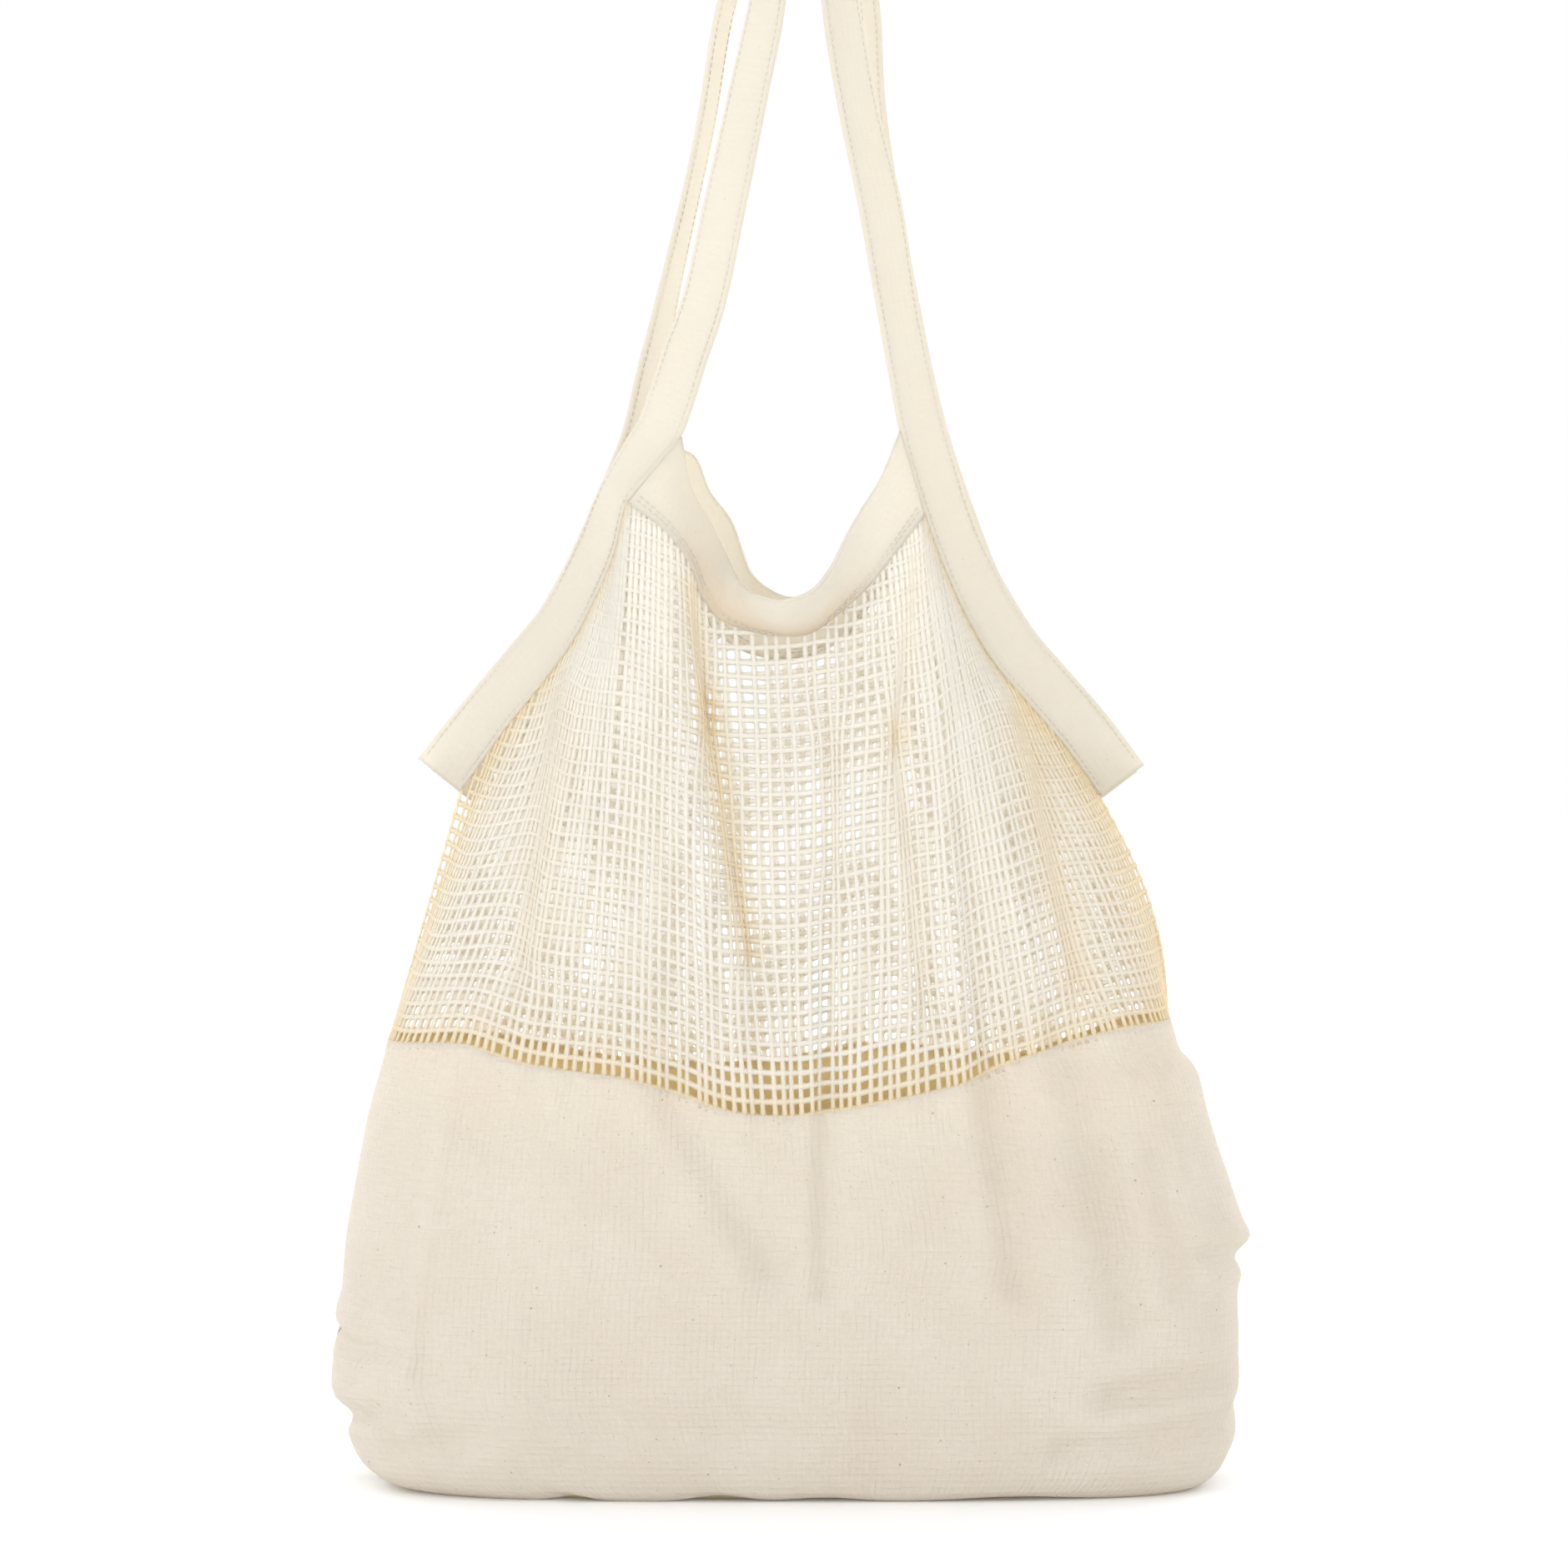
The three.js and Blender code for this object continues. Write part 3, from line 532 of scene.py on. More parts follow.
def tubes(lines):
    """Closed tubes along lines. Each line is (centres, normals, wide, deep, glow), and glow, the
    amount of painted warm shade, is kept as the first part of the uv."""
    sides = TUBE_SIDES
    points, faces, uvs = [], [], []
    start = 0
    turn = 2 * math.pi * np.arange(sides) / sides
    for centres, normals, wide, deep, glow in lines:
        ahead = unit(np.gradient(centres, axis=0))
        beside = unit(np.cross(ahead, normals))
        out = unit(np.cross(beside, ahead))
        wide = np.broadcast_to(wide, len(centres))[:, None, None]
        deep = np.broadcast_to(deep, len(centres))[:, None, None]
        ring = (
            centres[:, None, :]
            + wide / 2 * np.cos(turn)[None, :, None] * beside[:, None, :]
            + deep / 2 * np.sin(turn)[None, :, None] * out[:, None, :]
        )
        points.append(ring.reshape(-1, 3))
        v = np.repeat(walked(centres), sides)
        u = np.repeat(np.broadcast_to(glow, len(centres)), sides)
        uvs.append(np.stack([u, v / 1000], axis=1))
        faces.append(grid_faces(len(centres), sides, start, ring=True))
        faces.append(cap_faces(start, sides, flip=True))
        start += len(centres) * sides
        faces.append(cap_faces(start - sides, sides))
    return np.concatenate(points), np.concatenate(faces), np.concatenate(uvs)


# Materials


class Nodes:
    """Short calls for building one material's nodes."""

    def __init__(self, name):
        self.material = bpy.data.materials.new(name)
        self.material.use_nodes = True
        self.tree = self.material.node_tree
        self.shader = self.tree.nodes["Principled BSDF"]

    def add(self, kind, **settings):
        node = self.tree.nodes.new(kind)
        for name, value in settings.items():
            setattr(node, name, value)
        return node

    def put(self, node, **values):
        """Sets a node's inputs; an underscore stands for a space in an input's name."""
        for name, value in values.items():
            node.inputs[name.replace("_", " ")].default_value = value

    def link(self, source, target):
        self.tree.links.new(source, target)

    def noise(self, vector, scale, detail=3.0, roughness=0.55):
        node = self.add("ShaderNodeTexNoise")
        self.put(node, Scale=scale, Detail=detail, Roughness=roughness)
        self.link(vector, node.inputs["Vector"])
        return node.outputs["Fac"]

    def stretch(self, vector, scale):
        node = self.add("ShaderNodeMapping")
        self.put(node, Scale=scale)
        self.link(vector, node.inputs["Vector"])
        return node.outputs["Vector"]

    def part(self, vector, axis):
        node = self.add("ShaderNodeSeparateXYZ")
        self.link(vector, node.inputs["Vector"])
        return node.outputs[axis]

    def math(self, operation, a, b=0.0, clamp=False):
        node = self.add("ShaderNodeMath", operation=operation, use_clamp=clamp)
        for socket, value in zip(node.inputs, (a, b)):
            if isinstance(value, (int, float)):
                socket.default_value = value
            else:
                self.link(value, socket)
        return node.outputs[0]

    def spread(self, value, low, high, to_low=0.0, to_high=1.0):
        node = self.add("ShaderNodeMapRange", clamp=True)
        self.put(node, From_Min=low, From_Max=high, To_Min=to_low, To_Max=to_high)
        self.link(value, node.inputs["Value"])
        return node.outputs["Result"]

    def mix(self, share, a, b, blend="MIX"):
        node = self.add("ShaderNodeMix", data_type="RGBA", blend_type=blend)
        for socket, value in zip((node.inputs[0], node.inputs[6], node.inputs[7]), (share, a, b)):
            if isinstance(value, (int, float)):
                socket.default_value = value
            elif isinstance(value, tuple):
                socket.default_value = (*value, 1.0)
            else:
                self.link(value, socket)
        return node.outputs[2]

    def let_light_through(self, share, colour):
        """Some of the light that falls on the far side comes through, tinted by colour."""
        through = self.add("ShaderNodeBsdfTranslucent")
        self.put(through, Color=(*colour, 1.0))
        mixed = self.add("ShaderNodeMixShader")
        self.put(mixed, Fac=share)
        self.link(self.shader.outputs["BSDF"], mixed.inputs[1])
        self.link(through.outputs["BSDF"], mixed.inputs[2])
        self.link(mixed.outputs["Shader"], self.tree.nodes["Material Output"].inputs["Surface"])

    def bump(self, height, distance, before=None):
        node = self.add("ShaderNodeBump")
        self.put(node, Strength=1.0, Distance=distance)
        self.link(height, node.inputs["Height"])
        if before is not None:
            self.link(before, node.inputs["Normal"])
        return node.outputs["Normal"]


WEAVE_SCALE = 100.0
FLECK_COLOUR = (0.36, 0.26, 0.16)


def cloth_material(name, colour, shade, flecks, bump, through, painted_shade=None):
    """Plain woven cotton: threads both ways, slubs, soft blotches and dark flecks, each given as
    (scale, size). Painted shade is a darker colour that the cloth turns to between two heights of
    its uv, within reach of a middle place along it: shade painted where it falls."""
    n = Nodes(name)
    uv = n.add("ShaderNodeUVMap", uv_map="cloth").outputs["UV"]
    place = n.add("ShaderNodeTexCoord").outputs["Object"]
    blotch = n.noise(place, 22.0, 4.0)
    slub_across = n.noise(n.stretch(uv, (90.0, 1300.0, 1.0)), 1.0, 2.0)
    slub_up = n.noise(n.stretch(uv, (1300.0, 90.0, 1.0)), 1.0, 2.0)
    slubs = n.math("ADD", slub_across, slub_up)
    base = n.mix(n.spread(blotch, 0.3, 0.7), colour, shade)
    base = n.mix(n.spread(slubs, 0.75, 1.25, 0.0, 0.7), base, shade)
    for scale, size in flecks:
        cells = n.add("ShaderNodeTexVoronoi", feature="F1", voronoi_dimensions="2D")
        n.put(cells, Scale=scale)
        n.link(uv, cells.inputs["Vector"])
        parts = n.add("ShaderNodeSeparateColor")
        n.link(cells.outputs["Color"], parts.inputs["Color"])
        reach = n.spread(parts.outputs["Red"], 0.4, 1.0, 0.0, size)
        inside = n.math("LESS_THAN", cells.outputs["Distance"], reach)
        strength = n.spread(parts.outputs["Green"], 0.0, 1.0, 0.2, 0.8)
        base = n.mix(n.math("MULTIPLY", inside, strength), base, FLECK_COLOUR)
    # Painted shade: the colour turns darker below a height of the uv, near a middle place along it,
    # where shade falls
    if painted_shade:
        away = n.math("ABSOLUTE", n.math("SUBTRACT", n.part(uv, "X"), painted_shade["middle"]))
        tall = n.spread(n.part(uv, "Y"), painted_shade["full_at"], painted_shade["none_at"], 1.0, 0.0)
        wide = n.spread(away, painted_shade["full_within"], painted_shade["reach"], painted_shade["strength"], 0.0)
        base = n.mix(n.math("MULTIPLY", tall, wide), base, painted_shade["colour"])
    n.link(base, n.shader.inputs["Base Color"])
    bands = []
    for direction in "XY":
        threads = n.add("ShaderNodeTexWave", wave_type="BANDS", bands_direction=direction)
        n.put(threads, Scale=WEAVE_SCALE, Distortion=1.2)
        n.link(uv, threads.inputs["Vector"])
        bands.append(threads.outputs["Fac"])
    weave = n.math("ADD", *bands)
    rough = n.math("ADD", n.math("MULTIPLY", weave, 0.5), slubs)
    first = n.bump(rough, bump)
    fuzz = n.noise(place, 900.0, 3.0)
    n.link(n.bump(fuzz, bump * 0.5, first), n.shader.inputs["Normal"])
    n.put(n.shader, Roughness=0.92, Specular_IOR_Level=0.2, Sheen_Weight=0.15, Sheen_Roughness=0.6)
    n.let_light_through(*through)
    return n.material


def thread_material(name, colour, shade, painted_warm_shade, through):
    """Spun cotton thread: twisted fibres along each tube, with a painted warm shade, as much as
    the first part of the uv says, for shade and light bounced between layers."""
    n = Nodes(name)
    uv = n.add("ShaderNodeUVMap", uv_map="cloth").outputs["UV"]
    place = n.add("ShaderNodeTexCoord").outputs["Object"]
    tone = n.noise(place, 60.0, 3.0)
    base = n.mix(n.spread(tone, 0.3, 0.7), colour, shade)
    # Painted warm shade, by the amount kept as the first part of the uv
    base = n.mix(n.part(uv, "X"), base, painted_warm_shade)
    n.link(base, n.shader.inputs["Base Color"])
    twist = n.noise(n.stretch(uv, (0.0, 1400.0, 1.0)), 1.0, 2.0)
    n.link(n.bump(twist, 0.0003), n.shader.inputs["Normal"])
    n.put(n.shader, Roughness=0.9, Specular_IOR_Level=0.15, Sheen_Weight=0.2, Sheen_Roughness=0.6)
    n.let_light_through(*through)
    return n.material


# Painted shade: a darker, warmer colour painted where shade falls on the cloth
PAINTED_SHADE = {"colour": (0.70, 0.57, 0.43), "middle": 0.0, "strength": 0.75}
canvas_material = cloth_material(
    "canvas",
    colour=(0.755, 0.72, 0.64),
    shade=(0.72, 0.66, 0.575),
    flecks=((55.0, 0.032), (150.0, 0.05)),
    bump=0.0004,
    through=(0.2, (0.98, 0.84, 0.58)),
)
# The inside of the canvas: painted brighter and warmer than the canvas, for light bounced inside the
# pouch, with painted shade lower down inside it
canvas_inside_painted_light_material = cloth_material(
    "canvas_inside_painted_light",
    colour=(1.0, 0.90, 0.62),
    shade=(1.0, 0.85, 0.54),
    flecks=((55.0, 0.028),),
    bump=0.00025,
    through=(0.6, (1.0, 0.91, 0.64)),
    painted_shade=dict(PAINTED_SHADE, colour=(0.45, 0.32, 0.15), none_at=0.178, full_at=0.16, full_within=3.6, reach=9.0),
)
band_look = {
    "flecks": ((60.0, 0.02),),
    "bump": 0.0002,
    "through": (0.42, (1.0, 0.945, 0.83)),
}
band_material = cloth_material(
    "band", colour=(0.755, 0.735, 0.68), shade=(0.735, 0.705, 0.64), **band_look
)
# The front collar: the band's cloth with painted shade along the middle of its low edge, where the
# rolled rim faces down into shade
collar_painted_shade_material = cloth_material(
    "collar",
    colour=(0.775, 0.755, 0.70),
    shade=(0.755, 0.725, 0.66),
    painted_shade=dict(PAINTED_SHADE, none_at=0.017, full_at=0.004, middle=0.085, full_within=0.026, reach=0.065),
    **band_look,
)
# The net's threads turn to a painted warm shade where Net.glow says: in folds, beside the bands, at
# the sides and above the seam
net_material = thread_material(
    "net",
    colour=(0.985, 0.975, 0.95),
    shade=(0.975, 0.955, 0.91),
    painted_warm_shade=(0.97, 0.82, 0.56),
    through=(0.6, (1.0, 0.975, 0.915)),
)
stitch_material = thread_material(
    "stitch",
    colour=(0.74, 0.69, 0.60),
    shade=(0.70, 0.64, 0.54),
    painted_warm_shade=(0.70, 0.64, 0.54),
    through=(0.1, (0.95, 0.85, 0.65)),
)


# Canvas base

CANVAS_FRONT = 190
CANVAS_BACK = 120
CANVAS_ROWS = 96
CANVAS_LEVELS = 90
WALK_STEPS = 240
# Rows lie closer together near the floor
ROW_CROWDING = 1.25
# Waves are (length, lean, height)
CANVAS_WAVES = ((70, 10, 1.2), (38, 80, 0.7), (22, 30, 0.4))
CANVAS_SEEDS = {"front": 3, "back": 4}
# Shares of the wall's height over which folds and base lifts fade near the floor
FOLD_FADE = 0.1
LIFT_FADE = 0.2
PUCKER_HIGH = 0.7
PUCKER_REACH = 16
PUCKER_LONG = 3.1
PUCKER_DRIFT = 1.5
PUCKER_DRIFT_LONG = 17
# Where the sides begin, as a share of HALF_WIDTH, and how gently
SIDE_BEGINS = 0.78
SIDE_EASE = 0.14
# The cloth stands proud above and below a side dent
DENT_BANK_AWAY = 1.9
DENT_BANK_ABOVE = 0.45
DENT_BANK_BELOW = 0.3
LIP_HIGH = 0.5
WALK_ROW = 40
FLOOR_RINGS = (0.25, 0.5, 0.75, 0.97)


def half_outline(height, front, shares):
    """Points of the pouch outline at a height, at shares of the way from left to right."""
    level = np.array(height / POUCH_HEIGHT)
    left, right, deep, square = (
        float(smooth_read(POUCH_SECTIONS, "height", level, column))
        for column in ("left", "right", "front" if front else "back", "square")
    )
    turn = np.linspace(0, math.pi, WALK_STEPS)
    cos, sin = -np.cos(turn), np.abs(np.sin(turn))
    grown = (np.abs(cos) ** square + sin**square) ** (1 / square)
    x = np.where(cos < 0, left, right) * HALF_WIDTH * cos / grown
    y = deep * HALF_DEPTH * (-1 if front else 1) * sin / grown
    reach = np.concatenate([[0], np.cumsum(np.hypot(np.diff(x), np.diff(y)))])
    shares = shares * reach[-1]
    return np.interp(shares, reach, x), np.interp(shares, reach, y)


def pouch_half(front, columns):
    """Outer points of one half of the wall, rows up and columns from left to right."""
    shares = np.linspace(0, 1, columns + 1)
    seam_table = FRONT_SEAM if front else BACK_SEAM
    top_x, _ = half_outline(POUCH_HEIGHT * FRONT_SEAM["height"][0], front, shares)
    seam = smooth_read(seam_table, "across", top_x / HALF_WIDTH, "height") * POUCH_HEIGHT
    levels = np.linspace(0, POUCH_HEIGHT, CANVAS_LEVELS)
    outlines = np.array([half_outline(level, front, shares) for level in levels])
    rise = np.linspace(0, 1, CANVAS_ROWS) ** ROW_CROWDING
    z = rise[:, None] * seam[None, :]
    x, y = np.empty_like(z), np.empty_like(z)
    for c in range(columns + 1):
        x[:, c] = np.interp(z[:, c], levels, outlines[:, 0, c])
        y[:, c] = np.interp(z[:, c], levels, outlines[:, 1, c])
    facing = np.clip(np.abs(y) / HALF_DEPTH, 0, 1)
    settled = np.clip(rise / FOLD_FADE, 0, 1)[:, None]
    press = pressed_in(CANVAS_FOLDS, x, z, POUCH_HEIGHT) if front else np.zeros_like(x)
    press = press + ripples(x, z, CANVAS_WAVES, CANVAS_SEEDS["front" if front else "back"])
    below = (seam[None, :] - z) / PUCKER_REACH
    drift = PUCKER_DRIFT * np.sin(x / PUCKER_DRIFT_LONG)
    press = press + PUCKER_HIGH * np.exp(-below) * np.sin(x / PUCKER_LONG + drift)
    y = y + (1 if front else -1) * press * facing * settled
    lift = np.zeros(columns + 1)
    for across, spread, high in rows_of(BASE_LIFTS):
        lift += high * np.exp(-(((x[0] / HALF_WIDTH - across) / spread) ** 2)) * facing[0]
    z = z + lift[None, :] * (1 - np.clip(rise / LIFT_FADE, 0, 1))[:, None]
    for side, up, lean, spread, depth in rows_of(SIDE_DENTS):
        away = (z - up * POUCH_HEIGHT - lean * y) / spread
        beside = np.clip((side * x / HALF_WIDTH - SIDE_BEGINS) / SIDE_EASE, 0, 1)
        bank = DENT_BANK_ABOVE * np.exp(-((away - DENT_BANK_AWAY) ** 2))
        bank = bank + DENT_BANK_BELOW * np.exp(-((away + DENT_BANK_AWAY) ** 2))
        x = x - side * depth * (np.exp(-(away**2)) - bank) * beside * settled
    return np.stack([x, y, z], axis=-1), shares


front_half, front_shares = pouch_half(True, CANVAS_FRONT)
back_half, back_shares = pouch_half(False, CANVAS_BACK)
pouch_outer = np.concatenate([front_half[:, :-1], back_half[:, :0:-1]], axis=1)
pouch_normals = normals_of(pouch_outer, ring=True)
pouch_inner = pouch_outer - pouch_normals * CANVAS_THICKNESS
pouch_inner[:, :, 2] = np.maximum(pouch_inner[:, :, 2], CANVAS_THICKNESS)
pouch_inner[0, :, 2] = CANVAS_THICKNESS
pouch_inner[-1, :, 2] = pouch_outer[-1, :, 2]


def build_canvas():
    rows, columns = pouch_outer.shape[:2]
    lip = (pouch_outer[-1] + pouch_inner[-1]) / 2 + np.array([0, 0, LIP_HIGH])
    wall = np.concatenate([pouch_outer, lip[None], pouch_inner[::-1]])
    u = np.broadcast_to(walked(pouch_outer[WALK_ROW])[None, :], wall.shape[:2])
    faces = [grid_faces(len(wall), columns, ring=True)]
    points = [wall.reshape(-1, 3)]
    uvs = [np.stack([u, wall[:, :, 2]], axis=-1).reshape(-1, 2)]
    start = wall.shape[0] * columns
    rows_end = start
    # The floor and its upper face, each as rings shrinking to the middle
    for first_row, height, flip in ((0, 0.0, True), (len(wall) - 1, CANVAS_THICKNESS, False)):
        edge = wall[first_row].copy()
        centre = np.array([edge[:, 0].mean(), 0, height])
        rings = np.array([edge + (centre - edge) * share for share in FLOOR_RINGS])
        points.append(rings.reshape(-1, 3))
        uvs.append(rings.reshape(-1, 3)[:, :2])
        join = grid_faces(2, columns, ring=True, flip=flip)
        join = np.where(join < columns, join + first_row * columns, join - columns + start)
        faces.append(join)
        faces.append(grid_faces(len(rings), columns, start, ring=True, flip=flip))
        start += len(rings) * columns
        faces.append(cap_faces(start - columns, columns, flip))
    faces = np.concatenate(faces)
    points = np.concatenate(points)
    # Faces inside the pouch get the inside canvas, with its painted light and painted shade
    within = np.ones(len(points), bool)
    within[: (rows + 1) * columns] = False
    within[rows_end : rows_end + len(FLOOR_RINGS) * columns] = False
    return add_piece(
        "canvas_pouch",
        to_frame(points),
        faces,
        np.concatenate(uvs) / 1000,
        canvas_material,
        "canvas_base",
        (canvas_inside_painted_light_material, within[faces].any(axis=1)),
    )


canvas = build_canvas()


# Tapes

LOOP_POINTS = 7
BAND_STATIONS = 190
LOOP_STATIONS = 28
CURVE_STEP = 0.002
STITCH_FROM_EDGE = 2.2
# Half of a tape's section: away from its edge in millimetres, full as a share of half the
# thickness. The edge is rounded, and the stitches lie in a channel.
TAPE_SECTION = table(
    "away full",
    (0, 0),
    (0.08, 0.6),
    (0.4, 0.88),
    (1.2, 0.95),
    (STITCH_FROM_EDGE, 0.76),
    (3.0, 0.95),
    (4.5, 1),
    (8, 1),
)
TAPE_WAVES = ((90, 0, 0.5),)
TAPE_WAVINESS = 0.8
TAPE_STILL = 20


class Tape:
    """The middle line of a tape and the directions across it and through it."""

    def __init__(self, left, right, side, joins):
        def places(rows):
            return np.stack(
                [
                    rows["across"] * HALF_WIDTH,
                    side * (TAPE_MEETING + rows["depth"] * HALF_DEPTH),
                    height_of(rows["level"]),
                    rows["face"],
                ],
                axis=1,
            )

        turn = np.linspace(0, math.pi, LOOP_POINTS)
        round_radius = LOOP_RADIUS + TAPE_THICKNESS / 2
        loop = np.stack(
            [
                LOOP_SHIFT - round_radius * np.cos(turn),
                np.full(LOOP_POINTS, side * (TAPE_WIDTH + LOOP_SPACING) / 2),
                HANG_HEIGHT - LOOP_RADIUS + round_radius * np.sin(turn),
                np.full(LOOP_POINTS, 90.0),
            ],
            axis=1,
        )
        self.side = side
        self.curve = Curve(np.concatenate([places(left), loop, places(right)]))
        skipped = len(left["face"]) + LOOP_POINTS
        self.joins = {
            name: (self.curve.places[first], self.curve.places[skipped + second])
            for name, (first, second) in joins.items()
        }
        self.loop = (self.curve.places[len(left["face"])], self.curve.places[skipped - 1])

    def frame(self, share):
        share = np.atleast_1d(np.asarray(share, float))
        middle = self.curve.at(share)
        ahead = unit(
            self.curve.at(np.minimum(share + CURVE_STEP, 1))[:, :3]
            - self.curve.at(np.maximum(share - CURVE_STEP, 0))[:, :3]
        )
        turned = np.radians(middle[:, 3])
        flat = unit(np.stack([-ahead[:, 2], np.zeros(len(share)), ahead[:, 0]], axis=1))
        across = flat * np.cos(turned)[:, None]
        across[:, 1] = -self.side * np.sin(turned)
        across = unit(across - ahead * np.sum(across * ahead, axis=1, keepdims=True))
        return middle[:, :3], across, np.cross(ahead, across)

    def edge(self, share, gap):
        middle, across, _ = self.frame(share)
        return middle - across * (TAPE_WIDTH / 2 + gap)


front_tape = Tape(FRONT_LEFT, FRONT_RIGHT, -1, FRONT_JOINS)
back_tape = Tape(BACK_LEFT, BACK_RIGHT, 1, BACK_JOINS)


def build_tape(name, node, tape, seed):
    half = TAPE_WIDTH / 2
    thick = TAPE_THICKNESS / 2
    near, full = TAPE_SECTION["away"], TAPE_SECTION["full"]
    wide = np.concatenate([near, [half], TAPE_WIDTH - near[::-1]])
    full = np.concatenate([full, [1], full[::-1]])
    top = np.stack([wide - half, full * thick], axis=1)
    under = np.stack([wide[::-1][1:-1] - half, -full[::-1][1:-1] * thick], axis=1)
    section = np.concatenate([top, under])[::-1]
    first, last = tape.loop
    before = np.linspace(0, first, BAND_STATIONS)[:-1]
    after = np.linspace(last, 1, BAND_STATIONS)[1:]
    shares = np.concatenate([before, np.linspace(first, last, LOOP_STATIONS), after])
    middle, across, through = tape.frame(shares)
    reach = shares * tape.curve.total
    size = len(section)
    cup = ripples(reach[:, None], section[None, :, 0], TAPE_WAVES, seed)
    still = np.clip(np.minimum(reach, reach[-1] - reach) / TAPE_STILL, 0, 1)[:, None]
    deep = section[None, :, 1] + cup * still * TAPE_WAVINESS
    ring = (
        middle[:, None, :]
        + section[None, :, 0, None] * across[:, None, :]
        + deep[..., None] * through[:, None, :]
    )
    points = ring.reshape(-1, 3)
    walls = grid_faces(len(shares), size, ring=True)
    ends = [cap_faces(0, size, flip=True), cap_faces(len(points) - size, size)]
    faces = np.concatenate([walls, *ends])
    u = np.broadcast_to(section[None, :, 0], ring.shape[:2])
    v = np.broadcast_to(reach[:, None], ring.shape[:2])
    uvs = np.stack([u, v], axis=-1).reshape(-1, 2) / 1000
    return add_piece(name, to_frame(points), faces, uvs, band_material, node)


tape_front = build_tape("tape_front", "strap_front", front_tape, 5)
tape_back = build_tape("tape_back", "strap_back", back_tape, 6)


# Rims

RIM_SETBACK = 0.05
RIM_THICKNESS = 2.0
FRONT_BOW = 2.6
BACK_BOW = -0.5
RIM_STATIONS = 150
RIM_ROWS = 16
RIM_HEIGHT = 28
RIM_WAVES = ((34, 15, 0.8), (16, 60, 0.3))


def rim_edge(rows, tape, name):
    side = tape.side
    inner = np.stack(
        [rows["across"] * HALF_WIDTH, side * rows["depth"] * HALF_DEPTH, height_of(rows["level"])],
        axis=1,
    )
    ends = tape.edge(np.array(tape.joins[name]), RIM_SETBACK)
    return Curve(np.concatenate([ends[:1], inner, ends[1:]]))


def rim_edges(low, top, tape):
    return {"low": rim_edge(low, tape, "low"), "top": rim_edge(top, tape, "top")}


front_rim = rim_edges(FRONT_RIM_LOW, FRONT_RIM_TOP, front_tape)
back_rim = rim_edges(BACK_RIM_LOW, BACK_RIM_TOP, back_tape)


def rim_surface(edges, along, up, bulge):
    """Middle of the rim's cloth, bowed outwards between its edges by bulge millimetres."""
    low = edges["low"].at(along)[None, :, :3]
    top = edges["top"].at(along)[None, :, :3]
    flat = low + (top - low) * up[:, None, None]
    out = normals_of(flat)
    bow = np.sin(math.pi * up)[:, None, None] * np.sin(math.pi * along)[None, :, None]
    return flat + out * bow * bulge


def closed_sheet(grid, thickness):
    """A sheet about a grid of points, with rounded edges, as points, faces and uvs."""
    rows, columns = grid.shape[:2]
    normals = normals_of(grid)
    half = thickness / 2
    outer = grid + normals * half
    inner = grid - normals * half
    size = rows * columns
    index = np.arange(size).reshape(rows, columns)
    rim = np.concatenate([index[0], index[1:, -1], index[-1, -2::-1], index[-2:0:-1, 0]])
    after = np.roll(rim, -1)
    edge = np.stack([after, rim, rim + size, after + size], axis=1)
    faces = np.concatenate(
        [grid_faces(rows, columns), grid_faces(rows, columns, size, flip=True), edge]
    )
    points = np.concatenate([outer.reshape(-1, 3), inner.reshape(-1, 3)])
    step_u = np.linalg.norm(np.diff(grid, axis=1), axis=2)
    step_v = np.linalg.norm(np.diff(grid, axis=0), axis=2)
    u = np.concatenate([np.zeros((rows, 1)), np.cumsum(step_u, axis=1)], axis=1)
    v = np.concatenate([np.zeros((1, columns)), np.cumsum(step_v, axis=0)], axis=0)
    uv = np.stack([u, v], axis=-1).reshape(-1, 2) / 1000
    return points, faces, np.concatenate([uv, uv])


def build_rim(name, node, edges, bulge, seed, material):
    along = np.linspace(0, 1, RIM_STATIONS)
    up = np.linspace(0, 1, RIM_ROWS)
    grid = rim_surface(edges, along, up, bulge)
    reach = along * edges["low"].total
    uneven = ripples(reach[None, :], up[:, None] * RIM_HEIGHT, RIM_WAVES, seed)
    grid = grid + normals_of(grid) * (uneven * np.sin(math.pi * along)[None, :])[..., None]
    points, faces, uvs = closed_sheet(grid, RIM_THICKNESS)
    return add_piece(name, to_frame(points), faces, uvs, material, node)


collar_front = build_rim("collar_front", "rim_front", front_rim, FRONT_BOW, 7, collar_painted_shade_material)
collar_back = build_rim("collar_back", "rim_back", back_rim, BACK_BOW, 8, band_material)


# Net

CELL_ACROSS = 4.2
CELL_UP = 6.5
PILLAR_WIDE = 2.35
PILLAR_DEEP = 1.2
STRAND_WIDE = 2.8
STRAND_DEEP = 1.1
NET_SETBACK = 0.4
TUCK = 2.5
NET_STEP = 0.004
FINE_STEPS = 400
# How far the panel stands out: at the right side, in its middle, and in seeded waves
SIDE_BULGE = 8
PANEL_BULGE = 5
NET_WAVES = ((46, 5, 1.6), (24, -8, 0.9))
EASE_UP = 1.6
EASE_ACROSS = 4
# Half of the least space between the two panels
HALF_APART = 0.9
# Painted warm shade on the threads, for shade and light bounced between layers: how far it
# reaches from the seam and the bands in millimetres and from the sides as shares of the width,
# how deep a fold has to be, and how strong each is
SEAM_GLOW = 9.0
BAND_GLOW = 8.0
LEFT_GLOW = 0.06
RIGHT_GLOW = 0.09
GLOW_DEPTH = 7
BACK_FOLD_SHARE = 0.3
BAND_STRENGTH = 0.8
SIDE_STRENGTH = 0.85
FOLD_STRENGTH = 0.9
# Unevenness of the threads; the scatters are shares of a cell or millimetres
PILLAR_SCATTER = 0.1
SWAY_SCATTER = 0.08
SWAY = 0.12
SWAY_LONG = 31
PILLAR_KNOT = 0.18
STRAND_KNOT = 0.12
STRAND_SCATTER = 0.25
WAVER = 0.35
WAVER_TURNS = 37
STRAND_PAST = 1.0


